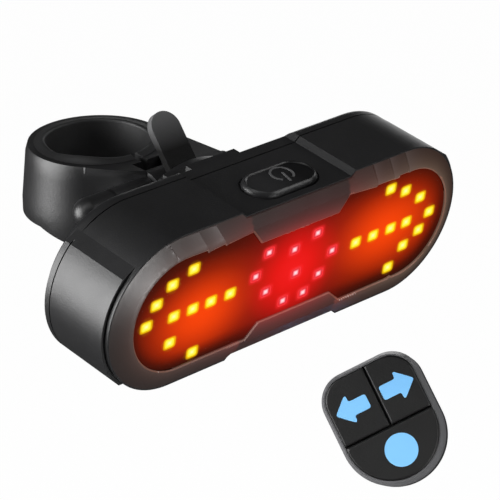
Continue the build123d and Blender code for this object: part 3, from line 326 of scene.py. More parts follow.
class Nodes:
    """Small helper that builds a material's node tree."""

    def __init__(self, name):
        self.material = bpy.data.materials.new(name)
        self.material.use_nodes = True
        self.tree = self.material.node_tree
        self.shader = self.tree.nodes["Principled BSDF"]
        self.output = self.tree.nodes["Material Output"]

    def add(self, kind, **settings):
        node = self.tree.nodes.new(kind)
        for key, value in settings.items():
            setattr(node, key, value)
        return node

    def link(self, source, target):
        self.tree.links.new(source, target)

    def set(self, **values):
        for key, value in values.items():
            self.shader.inputs[key.replace("_", " ")].default_value = value

    def noise(self, scale, detail=4.0, rough=0.6):
        """Noise fixed to the piece."""
        coords = self.add("ShaderNodeTexCoord")
        node = self.add("ShaderNodeTexNoise")
        node.inputs["Scale"].default_value = scale
        node.inputs["Detail"].default_value = detail
        node.inputs["Roughness"].default_value = rough
        self.link(coords.outputs["Object"], node.inputs["Vector"])
        return node.outputs["Fac"]

    def ramp(self, value, stops):
        """Colour that a value picks between stops."""
        node = self.add("ShaderNodeValToRGB")
        elements = node.color_ramp.elements
        while len(elements) < len(stops):
            elements.new(0.5)
        for element, (place, color) in zip(elements, stops):
            element.position = place
            element.color = color
        self.link(value, node.inputs["Fac"])
        return node.outputs["Color"]

    def bump(self, value, distance):
        """Relief of the surface."""
        node = self.add("ShaderNodeBump")
        node.inputs["Distance"].default_value = distance
        node.inputs["Strength"].default_value = 1.0
        self.link(value, node.inputs["Height"])
        self.link(node.outputs["Normal"], self.shader.inputs["Normal"])

    def vary_roughness(self, value, low, high):
        """Roughness that a value moves between two limits."""
        node = self.add("ShaderNodeMapRange")
        node.inputs["To Min"].default_value = low
        node.inputs["To Max"].default_value = high
        self.link(value, node.inputs["Value"])
        self.link(node.outputs["Result"], self.shader.inputs["Roughness"])

    def along(self, axis):
        """Share of the way through the piece along an axis."""
        coords = self.add("ShaderNodeTexCoord")
        split = self.add("ShaderNodeSeparateXYZ")
        self.link(coords.outputs["Generated"], split.inputs["Vector"])
        return split.outputs[axis]

    def over_clear(self, share):
        """Show the shader by a share and what lies behind it by the rest."""
        clear = self.add("ShaderNodeBsdfTransparent")
        blend = self.add("ShaderNodeMixShader")
        self.link(share, blend.inputs["Fac"])
        self.link(clear.outputs["BSDF"], blend.inputs[1])
        self.link(self.shader.outputs["BSDF"], blend.inputs[2])
        self.link(blend.outputs["Shader"], self.output.inputs["Surface"])


def moulded_plastic(name, dark, light, rough, grain=PLASTIC_GRAIN, depth=PLASTIC_DEPTH):
    """Fine-grained moulded plastic with a faint drift of tone."""
    n = Nodes(name)
    n.set(Specular_IOR_Level=0.5)
    drift = n.noise(45, 3)
    n.link(n.ramp(drift, [(0.3, dark), (0.7, light)]), n.shader.inputs["Base Color"])
    n.bump(n.noise(grain, 2, 0.5), depth)
    n.vary_roughness(n.noise(160, 4), rough - 0.05, rough + 0.07)
    return n.material


def painted_light_plastic(name, axis, first, last, rough, gloss):
    """Plastic with painted light and shade: a run from one tone to another along an axis of the
    piece.
    """
    n = Nodes(name)
    n.link(n.ramp(n.along(axis), [first, last]), n.shader.inputs["Base Color"])
    n.set(Specular_IOR_Level=gloss)
    n.bump(n.noise(PLASTIC_GRAIN, 2, 0.5), PLASTIC_DEPTH)
    n.vary_roughness(n.noise(160, 4), rough - 0.05, rough + 0.07)
    return n.material


def metal(name, color, rough):
    """Plain metal with a faint wear."""
    n = Nodes(name)
    n.set(Metallic=1.0)
    wear = n.noise(700, 5)
    low = tuple(c * 0.8 for c in color[:3]) + (1.0,)
    n.link(n.ramp(wear, [(0.35, low), (0.65, color)]), n.shader.inputs["Base Color"])
    n.vary_roughness(wear, rough - 0.06, rough + 0.1)
    n.bump(n.noise(1800, 3), 0.00002)
    return n.material


def glow_cap(name, stops):
    """Face of a light, with colours from its middle out."""
    n = Nodes(name)
    away = n.add("ShaderNodeAttribute", attribute_name="away")
    color = n.ramp(away.outputs["Fac"], stops)
    n.link(color, n.shader.inputs["Emission Color"])
    n.set(Base_Color=(0.02, 0.02, 0.02, 1), Emission_Strength=1.0, Roughness=0.4)
    return n.material


def veil_material():
    """Tinted inner face of the lens, lit from behind and clear in front of each light."""
    n = Nodes("tinted_lens")
    glow = n.add("ShaderNodeAttribute", attribute_name="glow")
    veil = n.add("ShaderNodeAttribute", attribute_name="veil")
    n.link(glow.outputs["Color"], n.shader.inputs["Emission Color"])
    n.set(Base_Color=(0.01, 0.002, 0.001, 1), Emission_Strength=1.0)
    n.set(Roughness=0.5, Specular_IOR_Level=0.05)
    n.bump(n.noise(900, 2), 0.00002)
    n.over_clear(veil.outputs["Fac"])
    return n.material


def clear_material():
    """Clear outer face of the lens: see-through with a faint gloss."""
    n = Nodes("clear_lens")
    n.set(Base_Color=(0.02, 0.01, 0.01, 1))
    n.vary_roughness(n.noise(300, 3), 0.08, 0.16)
    fresnel = n.add("ShaderNodeFresnel")
    fresnel.inputs["IOR"].default_value = 1.15
    n.over_clear(fresnel.outputs["Fac"])
    return n.material


def bezel_material(name, first, last, rough):
    """Smoky plastic, browner toward its right end, that takes the glow that its mesh carries."""
    n = Nodes(name)
    glow = n.add("ShaderNodeAttribute", attribute_name="glow")
    n.link(glow.outputs["Color"], n.shader.inputs["Emission Color"])
    tone = n.ramp(n.along("X"), [(0.45, first), (0.85, last)])
    n.link(tone, n.shader.inputs["Base Color"])
    n.set(Emission_Strength=1.0)
    n.vary_roughness(n.noise(200, 3), rough - 0.04, rough + 0.05)
    n.bump(n.noise(1500, 2), 0.00001)
    return n.material


def place_mesh(name, verts, faces, matrix, body, material, smooth_angle):
    """Mesh from points in millimetres, placed by a matrix and carried by a body."""
    mesh = bpy.data.meshes.new(name)
    mesh.from_pydata([matrix @ Vector(v) for v in verts], [], faces)
    mesh.validate()
    solid = bmesh.new()
    solid.from_mesh(mesh)
    bmesh.ops.recalc_face_normals(solid, faces=solid.faces)
    solid.to_mesh(mesh)
    solid.free()
    for polygon in mesh.polygons:
        polygon.use_smooth = True
    mesh.set_sharp_from_angle(angle=math.radians(smooth_angle))
    obj = bpy.data.objects.new(name, mesh)
    bpy.context.scene.collection.objects.link(obj)
    mesh.materials.append(material)
    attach(obj, body)
    return obj


def add_values(obj, name, values):
    """Per-point attribute that a material reads."""
    layer = obj.data.attributes.new(name, "FLOAT", "POINT")
    layer.data.foreach_set("value", values)


def add_colors(obj, name, values):
    """Per-point colour that a material reads."""
    layer = obj.data.color_attributes.new(name, "FLOAT_COLOR", "POINT")
    layer.data.foreach_set("color", values)


def arc_points(cx, cz, radius, start, end, count):
    """Points along an arc between two bearings in degrees."""
    angles = [math.radians(start + (end - start) * i / count) for i in range(count + 1)]
    return [(cx + radius * math.cos(a), cz + radius * math.sin(a)) for a in angles]


def opening_points(inset):
    """Outline of the bezel's opening with its small teeth, clockwise from the top left."""
    rise = OPENING_RISE - inset
    centre = OPENING_HALF - OPENING_RISE
    top = TOP_TAB_EDGE - inset
    low = LOW_TAB_EDGE - inset
    top_half = TOP_TAB_HALF + inset
    low_half = LOW_TAB_HALF + inset
    top_tab = [
        (-top_half - TOP_TAB_SLANT, rise), (-top_half, top),
        (top_half, top), (top_half + TOP_TAB_SLANT, rise),
    ]
    low_tab = [
        (low_half + LOW_TAB_SLANT, -rise), (low_half, -low),
        (-low_half, -low), (-low_half - LOW_TAB_SLANT, -rise),
    ]
    points = [(x + TOP_TAB_SHIFT, z) for x, z in top_tab]
    points += [(x, rise - depth) for x, depth in TOP_RIGHT_TEETH]
    points += arc_points(OPENING_SHIFT + centre, 0, rise, 90, -90, 36)
    points += [(x, depth - rise) for x, depth in LOW_RIGHT_TEETH]
    points += [(x + LOW_TAB_SHIFT, z) for x, z in low_tab]
    points += arc_points(OPENING_SHIFT - centre, 0, rise, 270, 90, 36)
    return points + [(x, rise - depth) for x, depth in TOP_LEFT_TEETH]


def resample(points, step):
    """Closed outline with its long sides cut into steps."""
    result = []
    for a, b in zip(points, points[1:] + points[:1]):
        count = max(1, round(math.dist(a, b) / step))
        wide, tall = b[0] - a[0], b[1] - a[1]
        result += [(a[0] + wide * i / count, a[1] + tall * i / count) for i in range(count)]
    return result


def inside(x, z, outline):
    """Whether a point lies within a closed outline."""
    result = False
    for (ax, az), (bx, bz) in zip(outline, outline[1:] + outline[:1]):
        if (az > z) != (bz > z) and x < (bx - ax) * (z - az) / (bz - az) + ax:
            result = not result
    return result


def grid_points(wide, tall, step):
    """Staggered rows of points that cover a field evenly."""
    points = []
    for row in range(-int(tall / step), int(tall / step) + 1):
        shift = (row % 2) * step / 2
        for column in range(-int(wide / step), int(wide / step) + 1):
            points.append((column * step + shift, row * step))
    return points


def triangulate(outlines, points):
    """Points and triangles between closed outlines, through the loose points given."""
    border, edges = [], []
    for outline in outlines:
        start = len(border)
        border += outline
        edges += [(start + i, start + (i + 1) % len(outline)) for i in range(len(outline))]
    every = [Vector(p) for p in border + points]
    result = delaunay_2d_cdt(every, edges, [], 0, 0.00001)
    flat = [tuple(v) for v in result[0]]
    kept = []
    for face in result[2]:
        x = sum(flat[i][0] for i in face) / len(face)
        z = sum(flat[i][1] for i in face) / len(face)
        if inside(x, z, outlines[0]) and not any(inside(x, z, hole) for hole in outlines[1:]):
            kept.append(tuple(face))
    used = sorted({i for face in kept for i in face})
    place = {old: new for new, old in enumerate(used)}
    return [flat[i] for i in used], [tuple(place[i] for i in face) for face in kept]


def rim_edges(faces):
    """Edges that belong to one face alone, in that face's direction."""
    seen = dict.fromkeys(edge for face in faces for edge in zip(face, face[1:] + face[:1]))
    return [edge for edge in seen if (edge[1], edge[0]) not in seen]


def sheet_faces(triangles, count):
    """Faces of a closed sheet: its front, the same behind it, and the wall between them."""
    faces = list(triangles)
    faces += [tuple(count + i for i in reversed(face)) for face in triangles]
    return faces + [(b, a, count + a, count + b) for a, b in rim_edges(triangles)]


def reach_out(x, z, half, rise):
    """How far a point lies from the middle line of a long outline with round ends."""
    return math.hypot(max(abs(x) - half + rise, 0), z)


def stops_color(value, stops):
    """Linear colour between named stops."""
    value = min(max(value, stops[0][0]), stops[-1][0])
    for (low, first), (high, second) in zip(stops, stops[1:]):
        if value <= high:
            share = (value - low) / (high - low)
            return [a + (b - a) * share for a, b in zip(first, second)]
    return list(stops[-1][1])


def bell(x, z, cx, cz, wide, tall):
    """Soft round hill of height one."""
    return math.exp(-((x - cx) / wide) ** 2 / 2 - ((z - cz) / tall) ** 2 / 2)


AMBER = led_places(LEFT_ARROW_SHARES) + led_places(RIGHT_ARROW_SHARES)
RED = led_places(RED_SHARES)
AMBER_STOPS = [
    (0.0, srgb(26, 4, 0)), (0.2, srgb(76, 13, 0)), (0.45, srgb(142, 30, 0)),
    (0.7, srgb(202, 50, 1)), (1.0, srgb(250, 68, 2)),
]
RED_STOPS = [
    (0.0, srgb(0, 0, 0)), (0.3, srgb(110, 8, 6)), (0.6, srgb(190, 14, 12)),
    (0.85, srgb(228, 18, 16)), (1.0, srgb(242, 24, 24)),
]
HALO_COLORS = {"amber": srgb(255, 196, 0), "red": srgb(255, 40, 46)}


def field_color(x, z):
    """Glow of the lens: orange round each arrow, red in the middle and dark at the rim."""
    amber = sum(bell(x, z, *hill) for hill in AMBER_HILLS)
    red = bell(x, z, *RED_HILL)
    rim = limited((reach_out(x, z, OPENING_HALF, OPENING_RISE) - SHADE_START) / SHADE_RUN)
    shade = 1 - (SHADE_DEPTH - SHADE_LEAN * z) * rim ** 1.5
    base = stops_color(amber * shade, AMBER_STOPS)
    top = stops_color(red * (0.45 + 0.55 * shade), RED_STOPS)
    return [max(a * (1 - red), 0) + b for a, b in zip(base[:3], top[:3])]


def around_lights(places, half):
    """Rings of points round each light, drawn at several shares of its size."""
    points = []
    for px, pz in places:
        points.append((px, pz))
        for share in LIGHT_RINGS:
            corner = half * LED_CORNER * share
            ring = resample(rounded_square(half * share, corner, 4), 0.4)
            points += [(px + x, pz + z * LED_SQUAT) for x, z in ring]
    return points


def nearest_light(x, z):
    """How far out of the nearest light a point lies, as a share of its half side, and its kind."""
    best = (9.0, "amber")
    for places, half, kind in ((AMBER, AMBER_HALF, "amber"), (RED, RED_HALF, "red")):
        for px, pz in places:
            share = (abs(x - px) ** 4 + abs((z - pz) / LED_SQUAT) ** 4) ** 0.25 / half
            if share < best[0]:
                best = (share, kind)
    return best


def make_lens():
    """Lens with a clear front and a glowing back that opens in front of each light."""
    outline = resample(opening_points(LENS_GAP), LENS_STEP)
    rings = around_lights(AMBER, AMBER_HALF) + around_lights(RED, RED_HALF)
    rings = [p for p in rings if inside(*p, outline)]
    field = grid_points(OPENING_HALF, OPENING_RISE, LENS_STEP)
    loose = [p for p in field if nearest_light(*p)[0] > LIGHT_ROOM]
    flat, triangles = triangulate([outline], rings + loose)
    count = len(flat)
    verts = [(x, LENS_FRONT, z) for x, z in flat] + [(x, LENS_BACK, z) for x, z in flat]
    faces = sheet_faces(triangles, count)
    lens = place_mesh("lens_tinted", verts, faces, LIGHT, "light", clear_material(), 40)
    lens.data.materials.append(veil_material())
    for face in lens.data.polygons:
        face.material_index = int(all(i >= count for i in face.vertices))
    veil, glow = [], []
    for x, z in flat:
        share, kind = nearest_light(x, z)
        veil.append(limited((share - CLEAR_END) / CLEAR_FADE))
        near = limited((HALO_END - share) / HALO_FADE) ** 1.6 * HALO_STRENGTH[kind]
        color = [a + (b - a) * near for a, b in zip(field_color(x, z), HALO_COLORS[kind])]
        glow += color + [1.0]
    add_values(lens, "veil", veil * 2)
    add_colors(lens, "glow", glow * 2)
    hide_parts("lens")


def stadium_points(half, rise, steps=40):
    """Long outline with two half-round ends, clockwise from the top right."""
    centre = half - rise
    right = arc_points(centre, 0, rise, 90, -90, steps)
    return right + arc_points(-centre, 0, rise, 270, 90, steps)


def bezel_outline():
    """Outer outline of the bezel, set back where the middle panel is."""
    level = PANEL_RISE - BEZEL_NOTCH
    step = [
        (-PANEL_HALF - BEZEL_SLANT, BEZEL_RISE), (-PANEL_HALF, level),
        (PANEL_HALF, level), (PANEL_HALF + BEZEL_SLANT, BEZEL_RISE),
    ]
    centre = BEZEL_HALF - BEZEL_RISE
    points = step + arc_points(centre, 0, BEZEL_RISE, 90, -90, 60)
    points += [(x, -z) for x, z in reversed(step)]
    return points + arc_points(-centre, 0, BEZEL_RISE, 270, 90, 60)


def out_of_lens(x, z):
    """How far a point of the bezel lies from the middle line of the opening."""
    return reach_out(x - OPENING_SHIFT, z, OPENING_HALF, OPENING_RISE)


def facet_share(x, z):
    """Height of the bezel's facets at a point, from 0 to 1."""
    if z < 0:
        return 0.0
    out = (out_of_lens(x, z) - OPENING_RISE) / (BEZEL_RISE - OPENING_RISE)
    if x < 0:
        across = x + LEFT_LEAN * out
        for low, high in zip(LEFT_FACETS, LEFT_FACETS[1:]):
            if low < across <= high:
                return 0.3 + 0.7 * ((across - low) / (high - low)) ** 2
        return 0.0
    across = x + RIGHT_LEAN * out
    for low, high in zip(RIGHT_FACETS, RIGHT_FACETS[1:] + [RIGHT_FACETS[-1] + LAST_FACET]):
        if low < across <= high:
            return ((high - across) / (high - low)) ** 2
    return 0.0


def facet_lines():
    """Points down both sides of each step between two facets."""
    points = []
    for facets, lean in ((LEFT_FACETS, LEFT_LEAN), (RIGHT_FACETS, RIGHT_LEAN)):
        for start in facets:
            for i in range(FACET_STEPS + 1):
                out = i / FACET_STEPS
                level = OPENING_RISE + (BEZEL_RISE - OPENING_RISE) * out
                x = start - lean * out
                bend = max(abs(x) - OPENING_HALF + OPENING_RISE, 0)
                z = math.sqrt(max(level * level - bend * bend, 0))
                points += [(x - FACET_SPLIT, z), (x + FACET_SPLIT, z)]
    return points


def bezel_glow(x, z):
    """Light that the bezel takes from the lens behind it."""
    gap = max(out_of_lens(x, z) - OPENING_RISE, 0)
    if abs(x) < TOP_TAB_HALF + TOP_TAB_SLANT:
        edge = TOP_TAB_EDGE if z > 0 else LOW_TAB_EDGE
        gap = max(abs(z) - edge, 0)
    near = math.exp(-gap / GLOW_REACH)
    facet = FACET_GLOW * facet_share(x, z)
    red = bell(x, 0, 0, 0, RED_SPREAD, 1)
    side = limited(x / SIDE_RUN)
    color = [
        near * (in_red * red + (in_amber + at_side * side) * (1 - red)) + unlit + facet * on_facet
        for in_red, in_amber, at_side, unlit, on_facet in GLOW_PARTS
    ]
    return color + [1.0]


def make_bezel():
    """Smoky frame round the lens, with facets along its top and a lit inner edge."""
    outer = resample(bezel_outline(), BEZEL_STEP)
    opening = resample(opening_points(0), BEZEL_STEP)
    edge = resample(opening_points(-BEZEL_EDGE), BEZEL_STEP)
    land = stadium_points(OPENING_HALF + BEZEL_LAND, OPENING_RISE + BEZEL_LAND)
    land = resample(land, BEZEL_STEP)
    field = grid_points(BEZEL_HALF, BEZEL_RISE, BEZEL_STEP)
    loose = [p for p in field if inside(*p, outer) and not inside(*p, edge)]
    flat, triangles = triangulate([outer, opening], edge + land + facet_lines() + loose)
    count = len(flat)
    depth = []
    for x, z in flat:
        out = out_of_lens(x, z) - OPENING_RISE - BEZEL_LAND
        left = BEZEL_RISE - reach_out(x, z, BEZEL_HALF, BEZEL_RISE)
        share = limited(out / max(out + left, 0.01))
        facet = FACET_DEPTH * facet_share(x, z) * min(share * 3 + 0.4, 1)
        y = BEZEL_FRONT + (BODY_FRONT - BEZEL_FRONT) * share - facet
        depth.append(min(y, BODY_FRONT - BEZEL_THIN))
    on_edge = {(round(x, 3), round(z, 3)) for x, z in opening}
    for i, (x, z) in enumerate(flat):
        if (round(x, 3), round(z, 3)) in on_edge:
            depth[i] += EDGE_DROP
    verts = [(x, y, z) for (x, z), y in zip(flat, depth)] + [(x, BODY_FRONT, z) for x, z in flat]
    faces = sheet_faces(triangles, count)
    bezel = place_mesh("bezel_smoky", verts, faces, LIGHT, "light", SMOKE, 20)
    bezel.data.materials.append(SMOKE_EDGE_LIT)
    # Faces on the opening's edge take the lighter copy of the bezel's plastic, a painted highlight
    # of the edge lit by the lens.
    inner = [(round(x, 3), round(z, 3)) in on_edge for x, z in flat]
    for face in bezel.data.polygons:
        if any(i < count and inner[i] for i in face.vertices):
            face.material_index = 1
    glow = []
    for x, z in flat:
        glow += bezel_glow(x, z)
    add_colors(bezel, "glow", glow * 2)
    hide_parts("lens_bezel")


def rounded_square(half, corner, count=8):
    """Square outline with round corners, counter-clockwise from its right side."""
    points = []
    for quarter, (sx, sz) in enumerate([(1, 1), (-1, 1), (-1, -1), (1, -1)]):
        cx, cz = sx * (half - corner), sz * (half - corner)
        points += arc_points(cx, cz, corner, 90 * quarter, 90 * quarter + 90, count)
    return points


def make_lights(name, places, half, node, material):
    """Rounded square light bodies with a shallow domed face each."""
    shape = rounded_square(1.0, LED_CORNER)
    size = len(shape)
    verts, faces, away = [], [], []
    for px, pz in places:
        base = len(verts)
        verts.append((px, LED_TOP - LED_DOME, pz))
        away.append(0.0)
        for ring in range(1, LED_RINGS + 1):
            share = ring / LED_RINGS
            depth = LED_TOP - LED_DOME * (1 - share * share)
            verts += [
                (px + x * half * share, depth, pz + z * half * LED_SQUAT * share)
                for x, z in shape
            ]
            away += [share] * size
        depth = LED_TOP + LED_DEPTH
        verts += [(px + x * half, depth, pz + z * half * LED_SQUAT) for x, z in shape]
        away += [1.0] * size
        faces += [(base, base + 1 + (i + 1) % size, base + 1 + i) for i in range(size)]
        for ring in range(LED_RINGS):
            start = base + 1 + ring * size
            for i in range(size):
                j = (i + 1) % size
                faces.append((start + i, start + j, start + size + j, start + size + i))
        last = base + 1 + LED_RINGS * size
        faces.append(tuple(last + i for i in range(size)))
    lights = place_mesh(name, verts, faces, LIGHT, "light", material, 50)
    add_values(lights, "away", away)
    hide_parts(node)


def paint(material, *names):
    """Give carried-over nodes their finish."""
    for name in names:
        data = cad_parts[name].data
        data.materials.clear()
        data.materials.append(material)


def round_edges(name):
    """Soft edges on a carried-over node, with its flat faces kept flat."""
    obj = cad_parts[name]
    weld = obj.modifiers.new("weld", "WELD")
    weld.merge_threshold = WELD_GAP * MM
    bevel = obj.modifiers.new("edge", "BEVEL")
    bevel.width = EDGE_WIDTH * MM
    bevel.segments = EDGE_STEPS
    bevel.limit_method = "ANGLE"
    bevel.angle_limit = math.radians(EDGE_ANGLE)
    bevel.harden_normals = True
    bevel.use_clamp_overlap = True


def make_room():
    """Plain white floor below the object, and an even white world."""
    bpy.ops.mesh.primitive_plane_add(size=FLOOR_SIZE, location=(0, 0, FLOOR_LEVEL))
    floor = bpy.context.object
    floor.name = "floor"
    n = Nodes("white_floor")
    n.set(Roughness=0.9, Specular_IOR_Level=0.0)
    path = n.add("ShaderNodeLightPath")
    tone = n.ramp(path.outputs["Is Glossy Ray"], [(0.0, FLOOR_TONE), (1.0, FLOOR_MIRRORED)])
    n.link(tone, n.shader.inputs["Base Color"])
    shown = n.add("ShaderNodeMath", operation="MAXIMUM")
    n.link(path.outputs["Is Camera Ray"], shown.inputs[0])
    n.link(path.outputs["Is Transmission Ray"], shown.inputs[1])
    white = n.add("ShaderNodeEmission")
    white.inputs["Color"].default_value = (1, 1, 1, 1)
    blend = n.add("ShaderNodeMixShader")
    soft = n.add("ShaderNodeMath", operation="MULTIPLY")
    soft.inputs[1].default_value = FLOOR_WHITE
    n.link(shown.outputs[0], soft.inputs[0])
    n.link(soft.outputs[0], blend.inputs["Fac"])
    n.link(n.shader.outputs["BSDF"], blend.inputs[1])
    n.link(white.outputs["Emission"], blend.inputs[2])
    n.link(blend.outputs["Shader"], n.output.inputs["Surface"])
    floor.data.materials.append(n.material)
    world = bpy.data.worlds.new("world")
    bpy.context.scene.world = world
    world.use_nodes = True
    tree = world.node_tree
    background = tree.nodes["Background"]
    background.inputs["Color"].default_value = (1, 1, 1, 1)
    path = tree.nodes.new("ShaderNodeLightPath")
    level = tree.nodes.new("ShaderNodeMapRange")
    level.inputs["To Min"].default_value = WORLD_UNSEEN
    level.inputs["To Max"].default_value = 1.0
    tree.links.new(path.outputs["Is Camera Ray"], level.inputs["Value"])
    tree.links.new(level.outputs["Result"], background.inputs["Strength"])


def button_stack(name, levels, body, material, hollow=False):
    """Closed piece or ring of the power button, from long round-ended outlines."""
    verts, faces = [], []
    for half, rise, height in levels:
        outline = stadium_points(half, rise, 24)
        level = PANEL_RISE + height
        verts += [(BUTTON_PLACE[0] + x, BUTTON_PLACE[1] + y, level) for x, y in outline]
    size = len(verts) // len(levels)
    for level in range(len(levels) if hollow else len(levels) - 1):
        start, following = level * size, (level + 1) % len(levels) * size
        for i in range(size):
            j = (i + 1) % size
            faces.append((start + i, following + i, following + j, start + j))
    if not hollow:
        faces.append(tuple(range(size)))
        faces.append(tuple(reversed(range(len(verts) - size, len(verts)))))
    return place_mesh(name, verts, faces, LIGHT, body, material, 28)


def stroke(points, width, low, high):
    """Flat raised line along a run of points: its corner points and faces."""
    verts, faces = [], []
    for i, (x, y) in enumerate(points):
        ax, ay = points[max(i - 1, 0)]
        bx, by = points[min(i + 1, len(points) - 1)]
        length = math.hypot(bx - ax, by - ay)
        sx, sy = -(by - ay) / length * width / 2, (bx - ax) / length * width / 2
        verts += [(x + sx, y + sy, low), (x - sx, y - sy, low)]
        verts += [(x - sx, y - sy, high), (x + sx, y + sy, high)]
    for i in range(len(points) - 1):
        for k in range(4):
            m = (k + 1) % 4
            faces.append((4 * i + k, 4 * i + m, 4 * i + 4 + m, 4 * i + 4 + k))
    last = 4 * (len(points) - 1)
    return verts, faces + [(3, 2, 1, 0), (last, last + 1, last + 2, last + 3)]


def make_button():
    """Power button with its ridge and dished face, the rubber ring round it, and the power sign."""
    button = button_stack("power_button_cap", CAP_LEVELS, "button", BUTTON_FACE_SHADED)
    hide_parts("power_button")
    seal = button_stack("button_ring", RING_LEVELS, "light", RUBBER, True)
    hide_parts("button_seal")
    base = PANEL_RISE + SIGN_BASE
    verts, faces = stroke(arc_points(*SIGN_ARC), ARC_WIDTH, base, base + ARC_HEIGHT)
    bar_verts, bar_faces = stroke(SIGN_BAR, BAR_WIDTH, base, base + BAR_HEIGHT)
    count = len(verts)
    faces += [tuple(count + i for i in face) for face in bar_faces]
    place_mesh("power_sign", verts + bar_verts, faces, LIGHT, "button", SIGN, 20)


def round_corners(points, radius):
    """Closed outline with each corner rounded."""
    steps = 6
    result = []
    for i, corner in enumerate(points):
        here = Vector(corner)
        before = (Vector(points[i - 1]) - here).normalized()
        after = (Vector(points[(i + 1) % len(points)]) - here).normalized()
        half = before.angle(after) / 2
        reach = min(radius / math.tan(half), CORNER_REACH)
        start, end = here + before * reach, here + after * reach
        for k in range(steps + 1):
            t = k / steps
            point = start * (1 - t) ** 2 + here * 2 * t * (1 - t) + end * t * t
            result.append(tuple(point))
    return result


def arrow_points(sign, place):
    """Block arrow that points to one side."""
    points = [
        (-ARROW_HALF, -ARROW_SHAFT), (ARROW_NECK, -ARROW_SHAFT), (ARROW_NECK, -ARROW_HEAD),
        (ARROW_HALF, 0), (ARROW_NECK, ARROW_HEAD), (ARROW_NECK, ARROW_SHAFT),
        (-ARROW_HALF, ARROW_SHAFT),
    ]
    points = [(place[0] + sign * x, place[1] + y) for x, y in points]
    return points if sign > 0 else list(reversed(points))


def case_outline(inset):
    """Outline of the remote, counter-clockwise: two round corners above and half round below."""
    corner = CASE_CORNER - inset
    side, top = CASE_HALF - inset - corner, CASE_TOP - inset - corner
    points = arc_points(side, top, corner, 0, 90, 20) + arc_points(-side, top, corner, 90, 180, 20)
    return points + arc_points(0, -CASE_ROUND_Y, CASE_HALF - inset, 180, 360, 60)


def cut_away(points, axis, sign, limit):
    """Part of a closed outline where sign times a coordinate stays above the limit."""
    result = []
    for a, b in zip(points, points[1:] + points[:1]):
        far_a, far_b = sign * a[axis] - limit, sign * b[axis] - limit
        if far_a >= 0:
            result.append(a)
        if (far_a >= 0) != (far_b >= 0):
            share = far_a / (far_a - far_b)
            result.append((a[0] + (b[0] - a[0]) * share, a[1] + (b[1] - a[1]) * share))
    return result


def key_outline(name, inset):
    """Outline of one key, drawn in from the case and from both gaps between the keys."""
    outline = case_outline(KEY_RIM + inset)
    gap = KEY_GAP + inset
    if name == "round":
        return cut_away(outline, 1, -1, gap - KEY_SPLIT_Y)
    outline = cut_away(outline, 1, 1, gap + KEY_SPLIT_Y)
    if name == "left":
        return cut_away(outline, 0, -1, gap - KEY_SPLIT_X)
    return cut_away(outline, 0, 1, gap + KEY_SPLIT_X)


def ray_ring(outline, center, turns):
    """Points of a convex outline in the given directions from a point inside it."""
    ring = []
    for turn in turns:
        dx, dy = math.cos(turn), math.sin(turn)
        reach = 0.0
        for (ax, ay), (bx, by) in zip(outline, outline[1:] + outline[:1]):
            ex, ey = bx - ax, by - ay
            cross = dx * ey - dy * ex
            if abs(cross) < 1e-9:
                continue
            far = ((ax - center[0]) * ey - (ay - center[1]) * ex) / cross
            along = ((ax - center[0]) * dy - (ay - center[1]) * dx) / cross
            if far > 0 and -1e-6 <= along <= 1 + 1e-6:
                reach = max(reach, far)
        ring.append((center[0] + dx * reach, center[1] + dy * reach))
    return ring


def make_keys():
    """The three keys with soft slopes down into the gaps between them."""
    for name, center in MARK_PLACES.items():
        outer = key_outline(name, 0)
        corners = {round(math.atan2(y - center[1], x - center[0]), 4) for x, y in outer}
        even = {math.radians(KEY_TURN * i - 180) for i in range(360 // KEY_TURN)}
        turns = sorted(corners | even)
        verts = []
        for inset, height in KEY_LEVELS:
            verts += [(x, y, height) for x, y in ray_ring(key_outline(name, inset), center, turns)]
        size = len(turns)
        faces = []
        for level in range(len(KEY_LEVELS) - 1):
            start = level * size
            for i in range(size):
                j = (i + 1) % size
                faces.append((start + i, start + j, start + size + j, start + size + i))
        faces += [tuple(reversed(range(size))), tuple(range(len(verts) - size, len(verts)))]
        key = place_mesh(f"{name}_key_face", verts, faces, REMOTE, f"{name}_key", KEYS, 34)
        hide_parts(f"remote_{name}_button")


def make_marks():
    """Blue signs on the remote's keys."""
    outlines = [
        ("left", round_corners(arrow_points(-1, MARK_PLACES["left"]), MARK_CORNER)),
        ("right", round_corners(arrow_points(1, MARK_PLACES["right"]), MARK_CORNER)),
        ("round", arc_points(*MARK_PLACES["round"], DISC_RADIUS, 0, 352, 44)),
    ]
    for name, outline in outlines:
        size = len(outline)
        verts = [(x, y, level) for level in (MARK_LOW, MARK_HIGH) for x, y in outline]
        faces = [(i, (i + 1) % size, size + (i + 1) % size, size + i) for i in range(size)]
        faces += [tuple(reversed(range(size))), tuple(range(size, 2 * size))]
        mark = place_mesh(f"{name}_sign", verts, faces, REMOTE, f"{name}_key", BLUE_WITH_GLOW, 20)
        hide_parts(f"remote_{name}_mark")


